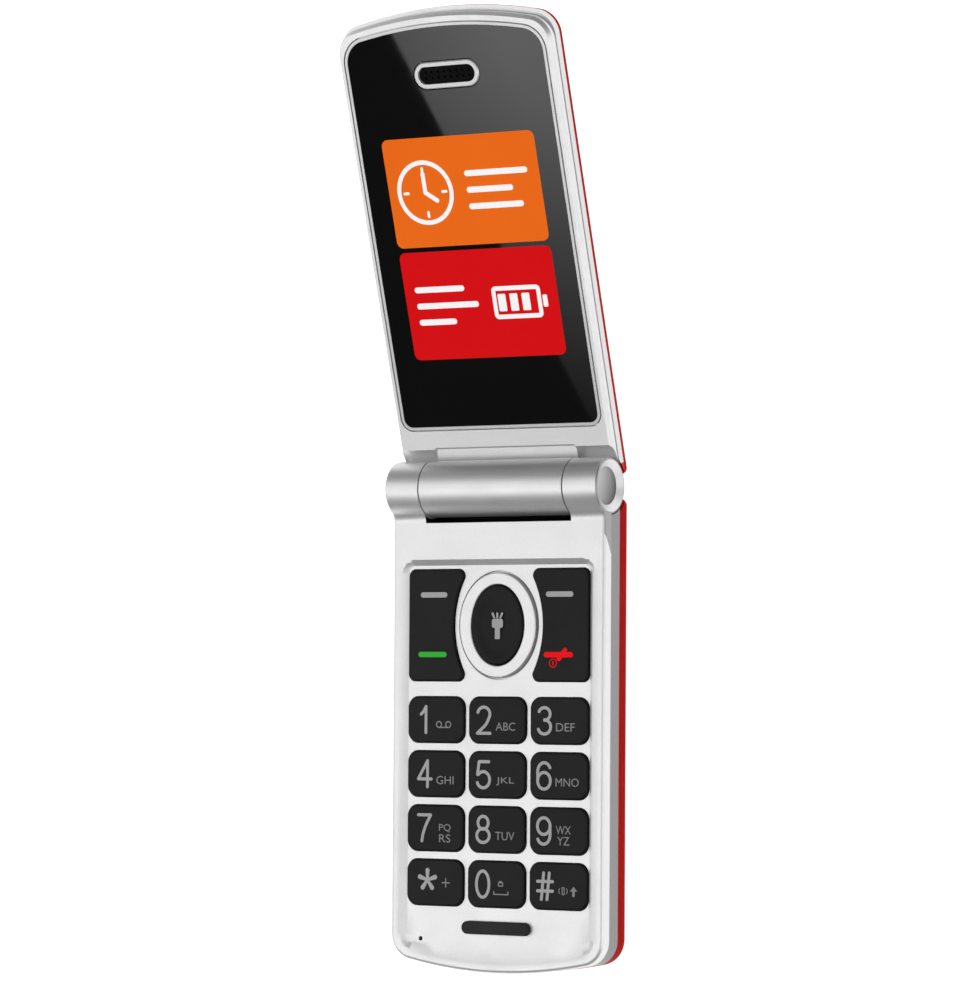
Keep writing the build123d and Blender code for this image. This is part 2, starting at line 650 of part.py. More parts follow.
ok_bottom = mat_top - ok_flange_t + seat_gap
ok_top = field_z + ok_proud
with BuildPart() as ok_key:
    with BuildSketch(base_plane(ok_bottom)):
        with Locations((0, nav_y)):
            Ellipse(ok_a, ok_b)
    extrude(amount=ok_top - ok_bottom)
    fillet(edges_at(ok_top), key_edge_r)
    # dish in its top
    for depth, inset in ((0, ok_rim_w), (ok_dish, ok_rim_w + ok_slope_w)):
        with BuildSketch(base_plane(ok_top - depth)):
            with Locations((0, nav_y)):
                Ellipse(ok_a - inset, ok_b - inset)
    loft(mode=Mode.SUBTRACT, ruled=True)
    with BuildSketch(base_plane(ok_bottom)):
        with Locations((0, nav_y)):
            Ellipse(ok_a + key_flange, ok_b + key_flange)
    extrude(amount=ok_flange_t)
save(ok_key.part, "ok_key")

with BuildPart() as nav_plate:
    with BuildSketch(base_plane(ok_bottom)):
        with Locations((0, nav_y)):
            Ellipse(ok_a + plate_in + plate_w, ok_b + plate_in + plate_w)
            Ellipse(ok_a + plate_in, ok_b + plate_in, mode=Mode.SUBTRACT)
    extrude(amount=ok_flange_t)
save(nav_plate.part, "nav_plate")

# ---------------------------------------------------------------- keypad mat, domes, board
mat_half_w = side_key_x + key_flange
mat_top_y = side_key_top
mat_low_y = key_spots["0"][1] - key_h / 2 - 2 * key_flange
mat_y, mat_l = (mat_top_y + mat_low_y) / 2, mat_top_y - mat_low_y
side_domes = [(side * key_pitch_x, nav_y + up * side_key_h / 3)
              for side in (-1, 1) for up in (-1, 1)]
usb_inner = usb_skin + usb_depth - half_w
usb_cut_x = 2 * (mat_half_w + usb_inner + fit_gap)
with BuildPart() as keypad_mat:
    with BuildSketch(base_plane(mat_bottom)):
        with Locations((0, mat_y)):
            Rectangle(2 * mat_half_w, mat_l)
        with Locations((-mat_half_w, usb_y)):
            Rectangle(usb_cut_x, usb_w + 2 * fit_gap, mode=Mode.SUBTRACT)
        with Locations((0, nav_y)):
            Ellipse(nav_a - key_gap, nav_b - key_gap, mode=Mode.SUBTRACT)
    extrude(amount=mat_t)
    with BuildSketch(base_plane(mat_bottom)):
        with Locations(*key_spots.values(), *side_domes):
            Circle(plunger_r)
    extrude(amount=-plunger_h)
save(keypad_mat.part, "keypad_mat")

with BuildPart() as dome_sheet:
    with BuildSketch(base_plane(board_top)):
        with Locations((0, mat_y)):
            Rectangle(2 * mat_half_w, mat_l)
        with Locations((-mat_half_w, usb_y)):
            Rectangle(usb_cut_x, usb_w + 2 * fit_gap, mode=Mode.SUBTRACT)
    extrude(amount=dome_sheet_t)
    with BuildSketch(base_plane(sheet_top)):
        with Locations(*key_spots.values(), *side_domes, (0, nav_y)):
            Circle(dome_r)
    extrude(amount=dome_h, taper=dome_slope)
save(dome_sheet.part, "dome_sheet")

board_side = wall + rocker_flange_t + 3 * fit_gap
board_half = half_w - board_side
board_high = -block_reach - fit_gap
with BuildPart() as main_board:
    with BuildSketch(base_plane(board_bottom)):
        end_outline(base_reach, -1, board_high, board_side)
        with Locations(*posts):
            Circle(post_r + fit_gap, mode=Mode.SUBTRACT)
        with Locations((-board_half, usb_y)):
            Rectangle(2 * usb_depth, usb_w + 2 * fit_gap, mode=Mode.SUBTRACT)
    extrude(amount=board_t)
save(main_board.part, "main_board")

with BuildPart() as shield_cans:
    can_y = board_high - can_start - can_l / 2
    with BuildSketch(base_plane(board_bottom - can_t)):
        with Locations((-(can_split + can_left_w) / 2, can_y)):
            RectangleRounded(can_left_w, can_l, can_r)
        with Locations(((can_split + can_right_w) / 2, can_y)):
            RectangleRounded(can_right_w, can_l, can_r)
    extrude(amount=can_t)
save(shield_cans.part, "shield_cans")

# ---------------------------------------------------------------- battery and what serves it
with BuildPart() as battery:
    with BuildSketch(base_plane(bay_z - seat_gap - battery_t)):
        with Locations((0, bay_y)):
            RectangleRounded(battery_w, battery_l, battery_r)
    extrude(amount=battery_t)
    fillet(edges().filter_by(Axis.Y), battery_edge_r)
save(battery.part, "battery")

with BuildPart() as battery_contacts:
    # each contact: a leg down from the board and a finger through the bay's wall
    for turn in (-1, 0, 1):
        with BuildSketch(base_side(contact_x + turn * contact_pitch - contact_w / 2)):
            with BuildLine():
                leg = bay_top + bay_wall + contact_out
                Polyline((leg, board_bottom - hinge_z), (leg, contact_z - hinge_z),
                         (bay_top - bay_clear + seat_gap, contact_z - hinge_z),
                         (bay_top - bay_clear + seat_gap, contact_z + contact_h - hinge_z),
                         (leg - contact_t, contact_z + contact_h - hinge_z),
                         (leg - contact_t, board_bottom - hinge_z), close=True)
            make_face()
        extrude(amount=contact_w)
save(battery_contacts.part, "battery_contacts")

with BuildPart() as sim_holder:
    sim_y = bay_top + bay_wall + sim_start + sim_l / 2
    with BuildSketch(base_plane(deck_z)):
        with Locations((0, sim_y)):
            Rectangle(sim_w, sim_l)
    extrude(amount=sim_t)
    with BuildSketch(base_plane(deck_z)):
        with Locations((0, sim_y)):
            Rectangle(sim_w - 2 * sim_rim, sim_l - 2 * sim_rim)
    extrude(amount=sim_card_t, mode=Mode.SUBTRACT)
save(sim_holder.part, "sim_holder")

# ---------------------------------------------------------------- charging socket
with BuildPart() as usb_socket:
    with BuildSketch(wall_plane(usb_skin, usb_y, usb_z)):
        SlotOverall(usb_w, usb_h)
    extrude(amount=usb_depth)
    with BuildSketch(wall_plane(usb_skin, usb_y, usb_z)):
        SlotOverall(usb_w - 2 * usb_skin, usb_h - 2 * usb_skin)
        Rectangle(usb_tongue_w, usb_tongue_t, mode=Mode.SUBTRACT)
    extrude(amount=usb_depth - usb_back, mode=Mode.SUBTRACT)
save(usb_socket.part, "usb_socket")

# ---------------------------------------------------------------- volume rocker
rocker_in = wall + fit_gap          # inner face of the rocker's web
with BuildPart() as volume_rocker:
    with BuildSketch(wall_plane(rocker_in, rocker_y, rocker_z)):
        SlotOverall(rocker_l, rocker_h)
    extrude(amount=-(rocker_in + rocker_proud))
    fillet(faces().sort_by(Axis.X)[0].edges(), rocker_edge_r)
    with BuildSketch(wall_plane(rocker_in, rocker_y, rocker_z)):
        Rectangle(rocker_l + 2 * rocker_flange, rocker_h + key_flange)
    extrude(amount=rocker_flange_t)
save(volume_rocker.part, "volume_rocker")

# ---------------------------------------------------------------- sound, vibration, radio
with BuildPart() as loudspeaker:
    with BuildSketch(base_plane(deck_z)):
        with Locations((0, speaker_y)):
            RectangleRounded(speaker_w, speaker_l, speaker_r)
    extrude(amount=speaker_t)
save(loudspeaker.part, "loudspeaker")

with BuildPart() as microphone:
    with BuildSketch(base_plane(board_top)):
        with Locations(mic_spot):
            Circle(mic_can_r)
    extrude(amount=ceiling_z - seat_gap - board_top)
save(microphone.part, "microphone")

with BuildPart() as vibration_motor:
    with BuildSketch(base_plane(board_bottom - motor_t)):
        with Locations(motor_spot):
            Circle(motor_r)
    extrude(amount=motor_t)
save(vibration_motor.part, "vibration_motor")

with BuildPart() as antenna:
    with BuildSketch(base_plane(deck_z)):
        with Locations(antenna_spot):
            Rectangle(antenna_w, antenna_l)
    extrude(amount=antenna_t)
save(antenna.part, "antenna")

# ---------------------------------------------------------------- bumper, screws, end caps
with BuildPart() as closing_bumper:
    bumper_z = field_z - bumper_bed + seat_gap
    bumper_top = face_z + closed_gap - bumper_clear
    with BuildSketch(base_plane(bumper_z)):
        with Locations((0, bumper_y)):
            SlotOverall(bumper_w, bumper_h)
    extrude(amount=bumper_top - bumper_z)
    fillet(edges_at(bumper_top), bumper_edge_r)
save(closing_bumper.part, "closing_bumper")

with BuildPart() as case_screws:
    screw_z = foot_z + fit_gap / 2
    with BuildSketch(base_plane(screw_z)):
        with Locations(*posts):
            Circle(screw_head_r)
    extrude(amount=screw_head_t)
    with BuildSketch(base_plane(screw_z)):
        with Locations(*posts):
            Circle(screw_shank_r)
    extrude(amount=ceiling_z - screw_end - screw_z)
    with BuildSketch(base_plane(screw_z)):
        with Locations(*posts):
            Rectangle(cross_l, cross_w)
            Rectangle(cross_w, cross_l)
    extrude(amount=cross_depth, mode=Mode.SUBTRACT)
save(case_screws.part, "case_screws")

for side, side_name in ((-1, "left"), (1, "right")):
    with BuildPart() as end_cap:
        with BuildSketch(base_side(side * (half_w - end_cap_sink - end_cap_t))):
            Circle(end_cap_r)
        extrude(amount=side * (end_cap_t + end_cap_dome))
        # swelled outer face
        dome_big_r = (end_cap_r**2 + end_cap_dome**2) / (2 * end_cap_dome)
        with Locations((side * (half_w - end_cap_sink + end_cap_dome - dome_big_r), hinge_y, hinge_z)):
            Sphere(dome_big_r, mode=Mode.INTERSECT)
    save(end_cap.part, f"end_cap_{side_name}")

# ---------------------------------------------------------------- hinge, lid side
case_in_r = hinge_case_r - hinge_case_wall
cam_r = case_in_r - cam_gap
case_end = barrel_half - seat_gap
with BuildPart() as hinge_case:
    with BuildSketch(base_side(hinge_case_x)):
        Circle(hinge_case_r)
    extrude(amount=case_end - hinge_case_x)
    with BuildSketch(base_side(hinge_case_x + hinge_case_wall)):
        Circle(case_in_r)
    extrude(amount=case_end - hinge_case_x - 2 * hinge_case_wall, mode=Mode.SUBTRACT)
    with BuildSketch(base_side(case_end)):
        Circle(shaft_r + run_gap)
    extrude(amount=-2 * hinge_case_wall, mode=Mode.SUBTRACT)
save(hinge_case.part, "hinge_case")

cam_x = case_end - hinge_case_wall - fit_gap - cam_t
follower_x = cam_x - 2 * cam_lobe - fit_gap - follower_t
with BuildPart() as hinge_follower:
    with BuildSketch(base_side(follower_x)):
        Circle(case_in_r - seat_gap)
        Circle(shaft_r + fit_gap, mode=Mode.SUBTRACT)
    extrude(amount=follower_t)
    with BuildSketch(base_side(follower_x + follower_t)):
        with PolarLocations((cam_r + shaft_r) / 2 + fit_gap / 2, 2):
            Circle(cam_lobe)
    extrude(amount=cam_lobe)
save(hinge_follower.part, "hinge_follower")

spring_x = hinge_case_x + hinge_case_wall
spring_len = follower_x - spring_x
spring_r = case_in_r - seat_gap - spring_wire
with BuildPart() as hinge_spring:
    coil_len = spring_len - 2 * spring_wire - 2 * seat_gap
    with BuildLine():
        coil = Helix(pitch=coil_len / spring_turns, height=coil_len, radius=spring_r,
                     center=(spring_x + spring_wire + seat_gap, hinge_y, hinge_z),
                     direction=(1, 0, 0))
    with BuildSketch(Plane(origin=coil @ 0, z_dir=coil % 0)):
        Circle(spring_wire)
    sweep()
save(hinge_spring.part, "hinge_spring")

with BuildPart() as hinge_flex:
    flex_x0, flex_x1 = -barrel_half + pivot_in + fit_gap, hinge_case_x - flex_end
    with BuildSketch(base_side(flex_x0)):
        Circle(pivot_r + flex_t)
        Circle(pivot_r, mode=Mode.SUBTRACT)
        with Locations((0, pivot_r)):
            Rectangle(flex_slit, pivot_r, mode=Mode.SUBTRACT)
    extrude(amount=flex_x1 - flex_x0)
save(hinge_flex.part, "hinge_flex")

# ---------------------------------------------------------------- hinge, keypad side
with BuildPart() as hinge_shaft:
    with BuildSketch(base_side(follower_x - fit_gap)):
        Circle(shaft_r)
    extrude(amount=knuckle_in - follower_x + fit_gap)
    with BuildSketch(base_side(cam_x)):
        Circle(cam_r)
    extrude(amount=cam_t)
    with BuildSketch(base_side(cam_x)):
        with PolarLocations((cam_r + shaft_r) / 2 + fit_gap / 2, 2, start_angle=90):
            Circle(cam_lobe)
    extrude(amount=-cam_lobe)
    with BuildSketch(base_side(knuckle_in + seat_gap)):
        RectangleRounded(shaft_key, shaft_key, key_edge_r)
    extrude(amount=pivot_out - 2 * seat_gap)
    with BuildSketch(base_side(knuckle_in)):
        Circle(shaft_r)
    extrude(amount=seat_gap)
save(hinge_shaft.part, "hinge_shaft")

with BuildPart() as pivot_tube:
    with BuildSketch(base_side(-knuckle_in - pivot_out)):
        Circle(pivot_r)
        Circle(pivot_bore_r, mode=Mode.SUBTRACT)
    extrude(amount=pivot_out + barrel_gap + pivot_in)
save(pivot_tube.part, "pivot_tube")

# ---------------------------------------------------------------- lid front frame with the barrel
tongue_half = barrel_half - barrel_gap
with BuildPart() as lid_front_frame:
    with BuildSketch(lid_plane(bezel_back)):
        end_outline(bezel_reach, 1, shoulder_root, groove_in)
    extrude(amount=groove_w)
    with BuildSketch(lid_plane(bezel_back + groove_w)):
        end_outline(bezel_reach, 1, shoulder_root)
    extrude(amount=bezel_depth - groove_w)
    front_face = faces().sort_by(lid_normal)[-1]
    chamfer(front_face.edges().sort_by(Axis.Y)[1:], bezel_edge_w, bezel_edge_h,
            reference=front_face)
    # shoulders hollowed around the knuckles
    with BuildSketch(base_side(-half_w)):
        Circle(scoop_r)
    extrude(amount=body_w, mode=Mode.SUBTRACT)
    # tongue: the face stops short of the barrel, the web behind it goes on
    with BuildSketch(lid_plane(lid_front)):
        with Locations((0, tongue_reach / 2)):
            Rectangle(2 * tongue_half, tongue_reach)
    extrude(amount=-tongue_drop, mode=Mode.SUBTRACT)
    tongue_middle = lid_plane(lid_front).from_local_coords((0, tongue_reach, 0))
    fillet(edges().sort_by_distance(tongue_middle)[0], tongue_edge_r)
    # coved cheeks over the knuckles
    for side in (-1, 1):
        with BuildSketch(lid_side(side * tongue_half)):
            with BuildLine():
                foot = (sqrt(scoop_r**2 - cheek_w**2), cheek_w)
                SagittaArc((cheek_reach, lid_front), foot, cheek_sag)
                Polyline(foot, (0, cheek_w), (0, lid_front), (cheek_reach, lid_front))
            make_face()
        extrude(amount=side * (half_w - tongue_half), mode=Mode.SUBTRACT)
    with BuildSketch(lid_side(-tongue_half)):
        with BuildLine():
            Polyline((0, web_front), (web_reach, web_front), (web_reach, bezel_back - web_depth),
                     (0, bezel_back - web_depth), close=True)
        make_face()
    extrude(amount=2 * tongue_half)
    with BuildSketch(base_side(-barrel_half)):
        Circle(barrel_r)
    extrude(amount=2 * barrel_half)
    # bores of the barrel
    with BuildSketch(base_side(barrel_half)):
        Circle(hinge_case_r + seat_gap)
    extrude(amount=-(barrel_half - hinge_case_x + seat_gap), mode=Mode.SUBTRACT)
    with BuildSketch(base_side(-barrel_half)):
        Circle(pivot_r + run_gap)
    extrude(amount=pivot_in + seat_gap, mode=Mode.SUBTRACT)
    with BuildSketch(base_side(-barrel_half + pivot_in)):
        Circle(pivot_r + flex_t + seat_gap)
    extrude(amount=barrel_half - pivot_in + hinge_case_x - bore_wall, mode=Mode.SUBTRACT)
    # pocket for the window and its trim
    with BuildSketch(lid_plane(pocket_w)):
        window_outline(trim_w + trim_groove)
    extrude(amount=lid_front - pocket_w, mode=Mode.SUBTRACT)
    # openings behind the window for the display and the receiver
    with BuildSketch(lid_plane(bezel_back)):
        with Locations((0, display_v)):
            Rectangle(display_w + 2 * fit_gap, display_l + 2 * fit_gap)
        with Locations((0, ear_v)):
            Rectangle(receiver_w + 2 * fit_gap, receiver_h + 2 * fit_gap)
    extrude(amount=bezel_depth, mode=Mode.SUBTRACT)
    with BuildSketch(lid_plane(bezel_back)):
        with Locations(*lid_posts):
            Circle(lid_screw_r + seat_gap)
    extrude(amount=lid_screw_bite + seat_gap, mode=Mode.SUBTRACT)
save(lid_front_frame.part, "lid_front_frame")

# ---------------------------------------------------------------- lid side band
with BuildPart() as lid_mid_frame:
    with BuildSketch(lid_plane(band_back)):
        end_outline(lid_reach, 1, shoulder_root)
    extrude(amount=band_depth)
    with BuildSketch(base_side(-half_w)):
        Circle(scoop_r)
    extrude(amount=body_w, mode=Mode.SUBTRACT)
    with BuildSketch(lid_plane(band_back)):
        with Locations((0, web_reach / 2)):
            Rectangle(2 * (tongue_half + fit_gap), web_reach + 2 * fit_gap)
    extrude(amount=band_depth, mode=Mode.SUBTRACT)
    with BuildSketch(lid_plane(band_back)):
        end_outline(lid_reach, 1, web_reach + fit_gap + bridge_w, wall)
        with Locations(*lid_posts):
            Circle(lid_screw_head_r + wall / 2, mode=Mode.SUBTRACT)
    extrude(amount=band_depth, mode=Mode.SUBTRACT)
    with BuildSketch(lid_plane(band_back)):
        with Locations(*lid_posts):
            Circle(lid_screw_r + seat_gap)
    extrude(amount=band_depth, mode=Mode.SUBTRACT)
save(lid_mid_frame.part, "lid_mid_frame")

# ---------------------------------------------------------------- lid back cover
with BuildPart() as lid_back_cover:
    with BuildSketch(lid_plane(lid_back)):
        end_outline(lid_reach, 1, lip_reach)
    extrude(amount=back_depth)
    outer_face = faces().sort_by(lid_normal)[0]
    fillet(outer_face.edges().sort_by(Axis.Y)[1:], lid_back_r)
    outer_face = faces().sort_by(lid_normal)[0]
    fillet(outer_face.edges().sort_by(Axis.Y)[0], lid_lip_r)
    with BuildSketch(base_side(-half_w)):
        Circle(lip_r)
    extrude(amount=body_w, mode=Mode.SUBTRACT)
    with BuildSketch(lid_plane(lid_back + cover_wall)):
        end_outline(lid_reach, 1, trough_r, cover_wall)
    extrude(amount=back_depth - cover_wall, mode=Mode.SUBTRACT)
    with BuildSketch(lid_plane(lid_back)):
        with Locations((0, camera_v)):
            Circle(camera_lens_r + seat_gap)
        with Locations((torch_x, camera_v)):
            Circle(torch_r + seat_gap)
    extrude(amount=cover_wall, mode=Mode.SUBTRACT)
save(lid_back_cover.part, "lid_back_cover")

# ---------------------------------------------------------------- window, trim and earpiece
window_front = lid_front - window_sink
with BuildPart() as display_window:
    with BuildSketch(lid_plane(window_front - window_t)):
        window_outline(-seat_gap)
        with Locations((0, ear_v)):
            SlotOverall(ear_w + 2 * ear_groove, ear_h + 2 * ear_groove, mode=Mode.SUBTRACT)
    extrude(amount=window_t)
save(display_window.part, "display_window")

with BuildPart() as window_trim:
    with BuildSketch(lid_plane(lid_front - trim_t)):
        window_outline(trim_w)
    extrude(amount=trim_t)
    with BuildSketch(lid_plane(lid_front - trim_t)):
        window_outline(0)
    extrude(amount=trim_t, mode=Mode.SUBTRACT)
save(window_trim.part, "window_trim")

ear_back = pocket_w + seat_gap
with BuildPart() as earpiece_ring:
    with BuildSketch(lid_plane(ear_back)):
        with Locations((0, ear_v)):
            SlotOverall(ear_w, ear_h)
    extrude(amount=lid_front + ear_proud - ear_back)
    chamfer(faces().sort_by(lid_normal)[-1].edges(), ear_edge)
    with BuildSketch(lid_plane(ear_back)):
        with Locations((0, ear_v)):
            SlotOverall(ear_w - 2 * ear_ring_w, ear_h - 2 * ear_ring_w)
    extrude(amount=lid_front + ear_proud - ear_back, mode=Mode.SUBTRACT)
save(earpiece_ring.part, "earpiece_ring")

with BuildPart() as earpiece_mesh:
    with BuildSketch(lid_plane(ear_back)):
        with Locations((0, ear_v)):
            SlotOverall(ear_w - 2 * ear_ring_w - 2 * seat_gap, ear_h - 2 * ear_ring_w - 2 * seat_gap)
            with GridLocations(mesh_pitch_x, mesh_pitch_y, mesh_columns, mesh_rows):
                Circle(mesh_hole_r, mode=Mode.SUBTRACT)
    extrude(amount=mesh_t)
save(earpiece_mesh.part, "earpiece_mesh")

# ---------------------------------------------------------------- inside the lid
display_front = pocket_w - seat_gap
with BuildPart() as display_module:
    with BuildSketch(lid_plane(display_front - display_t)):
        with Locations((0, display_v)):
            Rectangle(display_w, display_l)
    extrude(amount=display_t)
save(display_module.part, "display_module")

with BuildPart() as receiver:
    with BuildSketch(lid_plane(display_front - display_t)):
        with Locations((0, ear_v)):
            RectangleRounded(receiver_w, receiver_h, receiver_r)
    extrude(amount=display_t)
save(receiver.part, "receiver")

lid_board_front = display_front - display_t - seat_gap
lid_board_low, lid_board_high = web_reach + lid_board_start, bezel_reach - lid_board_end
with BuildPart() as lid_board:
    with BuildSketch(lid_plane(lid_board_front - lid_board_t)):
        with Locations((0, (lid_board_low + lid_board_high) / 2)):
            Rectangle(2 * (window_half - lid_board_side), lid_board_high - lid_board_low)
    extrude(amount=lid_board_t)
save(lid_board.part, "lid_board")

camera_front = lid_board_front - lid_board_t - seat_gap
with BuildPart() as camera_module:
    with BuildSketch(lid_plane(camera_front)):
        with Locations((0, camera_v)):
            Rectangle(camera_size, camera_size)
    extrude(amount=-camera_t)
save(camera_module.part, "camera_module")

with BuildPart() as camera_window:
    with BuildSketch(lid_plane(lid_back)):
        with Locations((0, camera_v)):
            Circle(camera_lens_r)
    extrude(amount=cover_wall)
save(camera_window.part, "camera_window")

with BuildPart() as torch_lens:
    with BuildSketch(lid_plane(lid_back)):
        with Locations((torch_x, camera_v)):
            Circle(torch_r)
    extrude(amount=camera_front - lid_back)
save(torch_lens.part, "torch_lens")

with BuildPart() as lid_magnet:
    with BuildSketch(lid_plane(bezel_back)):
        with Locations((half_w - magnet_in, bezel_reach - magnet_drop)):
            Rectangle(magnet_w, magnet_h)
    extrude(amount=-magnet_t)
save(lid_magnet.part, "lid_magnet")

with BuildPart() as lid_screws:
    with BuildSketch(lid_plane(band_back)):
        with Locations(*lid_posts):
            Circle(lid_screw_head_r)
    extrude(amount=-lid_screw_head_t)
    with BuildSketch(lid_plane(band_back)):
        with Locations(*lid_posts):
            Circle(lid_screw_r)
    extrude(amount=band_depth + lid_screw_bite)
save(lid_screws.part, "lid_screws")
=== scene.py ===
"""Flip phone, opened flat on its back: finishes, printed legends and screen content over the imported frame.

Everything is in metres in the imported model's frame: X runs across the phone along its hinge, Y from the
keypad towards the screen and Z up out of the keypad. Sizes written in millimetres carry the factor MM.
Only the flat shapes of the printing are drawn in plain millimetres, which PrintShop turns into metres.
"""

import json
import logging
import math
from collections.abc import Sequence
from dataclasses import dataclass, field, replace
from enum import Enum
from typing import ClassVar

import bpy
import numpy as np
from mathutils import Matrix, Vector


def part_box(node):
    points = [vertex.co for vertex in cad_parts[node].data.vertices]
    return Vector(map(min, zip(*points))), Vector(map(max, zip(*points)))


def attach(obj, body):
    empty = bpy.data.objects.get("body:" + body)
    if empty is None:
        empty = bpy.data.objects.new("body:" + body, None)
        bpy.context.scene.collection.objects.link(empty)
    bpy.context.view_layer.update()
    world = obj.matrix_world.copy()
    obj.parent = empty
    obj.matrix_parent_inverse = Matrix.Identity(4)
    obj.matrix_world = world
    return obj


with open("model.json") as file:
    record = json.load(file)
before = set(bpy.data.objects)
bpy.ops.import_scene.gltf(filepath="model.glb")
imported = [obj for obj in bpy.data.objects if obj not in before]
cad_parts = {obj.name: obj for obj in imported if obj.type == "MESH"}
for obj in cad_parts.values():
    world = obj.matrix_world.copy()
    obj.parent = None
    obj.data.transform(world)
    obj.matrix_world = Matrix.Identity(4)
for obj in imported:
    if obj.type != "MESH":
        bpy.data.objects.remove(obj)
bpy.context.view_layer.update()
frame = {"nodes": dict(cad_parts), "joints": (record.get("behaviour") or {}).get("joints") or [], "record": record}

MM = 0.001
LOG = logging.getLogger("flip_phone")

Colour = tuple[float, float, float]
Place = tuple[float, float, float]
Socket = bpy.types.NodeSocket
Tree = bpy.types.NodeTree

WHITE = (1.0, 1.0, 1.0, 1.0)
FINE_SCALE = 9000.0  # cells per metre of grain, paint flakes and brushed lines
TOP_REACH = 1.5 * MM  # how far round its middle a key's top is measured
SAME_POINT = 1e-9  # distance under which two points of a drawn line are one


# ---------------------------------------------------------------- frame readings


def joint_facts(name: str) -> dict:
    """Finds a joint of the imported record.

    Args:
        name: The joint's name.

    Returns:
        The joint's row of the record.
    """
    return next(joint for joint in frame["joints"] if joint["name"] == name)


def mesh_points(mesh: bpy.types.Mesh) -> np.ndarray:
    """Reads a mesh's points.

    Args:
        mesh: The mesh.

    Returns:
        One row of three coordinates for each point.
    """
    points = np.empty(len(mesh.vertices) * 3)
    mesh.vertices.foreach_get("co", points)
    return points.reshape(-1, 3)


@dataclass(frozen=True)
class WorkPlane:
    """A flat place to print on: an origin and three unit axes.

    Attributes:
        origin: The point the plane's coordinates are counted from.
        across: Direction of the first coordinate.
        along: Direction of the second coordinate.
        outward: Direction the printed side looks.
    """

    origin: np.ndarray
    across: np.ndarray
    along: np.ndarray
    outward: np.ndarray

    def place(self, points: np.ndarray, height: np.ndarray) -> np.ndarray:
        """Carries flat points into the part's frame.

        Args:
            points: Rows of two coordinates on the plane.
            height: Each point's distance above the plane along its outward direction.

        Returns:
            Rows of three coordinates: the origin, plus each coordinate times its axis, plus the height.
        """
        return self.origin + points[:, :1] * self.across + points[:, 1:2] * self.along + height * self.outward

    def raised(self, height: float) -> "WorkPlane":
        """Gives this plane moved outwards by a height."""
        return replace(self, origin=self.origin + height * self.outward)

    def lifted(self, node: str) -> "WorkPlane":
        """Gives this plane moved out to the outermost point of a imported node.

        Args:
            node: The node.

        Returns:
            The moved plane.
        """
        points = mesh_points(frame["nodes"][node].data)
        return self.raised(((points - self.origin) @ self.outward).max())


def keypad_plane(node: str) -> WorkPlane:
    """Gives the plane of a key's top face.

    Args:
        node: A CAD node of the keypad half whose top is flat.

    Returns:
        The plane through the middle of the node's box, at the highest corner of its mesh near there.
    """
    low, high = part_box(node)
    middle = (np.array(low) + np.array(high)) / 2
    points = mesh_points(frame["nodes"][node].data)
    away = np.linalg.norm(points[:, :2] - middle[:2], axis=1)
    middle[2] = points[away < away.min() + TOP_REACH, 2].max()
    return WorkPlane(middle, *np.eye(3))


def lid_plane() -> WorkPlane:
    """Gives the lid's plane through the hinge axis, as it lies at rest.

    Returns:
        The plane, whose second axis runs up the lid and whose outward side is the screen's.
    """
    hinge = joint_facts("lid_hinge")
    tilt = math.radians(180.0 - hinge["range_deg"][1])
    return WorkPlane(
        np.array(hinge["pos_m"]),
        np.array((1.0, 0.0, 0.0)),
        np.array((0.0, math.cos(tilt), math.sin(tilt))),
        np.array((0.0, -math.sin(tilt), math.cos(tilt))),
    )


# ---------------------------------------------------------------- shader node helpers


def feed(tree: Tree, value: Socket | Colour | float, socket: Socket) -> None:
    """Gives a socket its value.

    Args:
        tree: The tree that the socket is in.
        value: A socket to link, a linear colour or a plain number.
        socket: The socket that takes it.
    """
    if isinstance(value, Socket):
        tree.links.new(value, socket)
    else:
        socket.default_value = (*value, 1.0) if isinstance(value, tuple) else value


def object_place(tree: Tree) -> Socket:
    """Gives a point's place in object coordinates."""
    return tree.nodes.new("ShaderNodeTexCoord").outputs["Object"]


def add_math(tree: Tree, operation: str, *values: Socket | float, clamp: bool = False) -> Socket:
    """Places a Math node.

    Args:
        tree: Where it goes.
        operation: What it does.
        *values: Its inputs: sockets to link or plain numbers.
        clamp: Whether the result is held between 0 and 1.

    Returns:
        Its result.
    """
    node = tree.nodes.new("ShaderNodeMath")
    node.operation = operation
    node.use_clamp = clamp
    for value, socket in zip(values, node.inputs):
        feed(tree, value, socket)
    return node.outputs["Value"]


def add_range(
    tree: Tree,
    value: Socket,
    given: tuple[Socket | float, Socket | float] = (0.0, 1.0),
    wanted: tuple[float, float] = (0.0, 1.0),
) -> Socket:
    """Places a Map Range node, which stretches one range to another and holds the result inside it.

    Args:
        tree: Where it goes.
        value: What it reads.
        given: The two ends of what it reads, as sockets or plain numbers.
        wanted: What the two ends become.

    Returns:
        Its result.
    """
    node = tree.nodes.new("ShaderNodeMapRange")
    for label, end in zip(("Value", "From Min", "From Max", "To Min", "To Max"), (value, *given, *wanted)):
        feed(tree, end, node.inputs[label])
    return node.outputs["Result"]


def add_noise(
    tree: Tree,
    scale: Socket | float,
    detail: float = 2.0,
    roughness: float = 0.5,
    place: Socket | None = None,
) -> Socket:
    """Places a Noise node.

    Args:
        tree: Where it goes.
        scale: Its scale, as a socket or a plain number.
        detail: Number of finer layers in it.
        roughness: Strength of each finer layer beside the one before.
        place: The coordinates it reads, if they aren't the object's own.

    Returns:
        Its value.
    """
    noise = tree.nodes.new("ShaderNodeTexNoise")
    place = object_place(tree) if place is None else place
    for label, value in zip(("Vector", "Scale", "Detail", "Roughness"), (place, scale, detail, roughness)):
        feed(tree, value, noise.inputs[label])
    return noise.outputs["Fac"]


# ---------------------------------------------------------------- shared shader effects


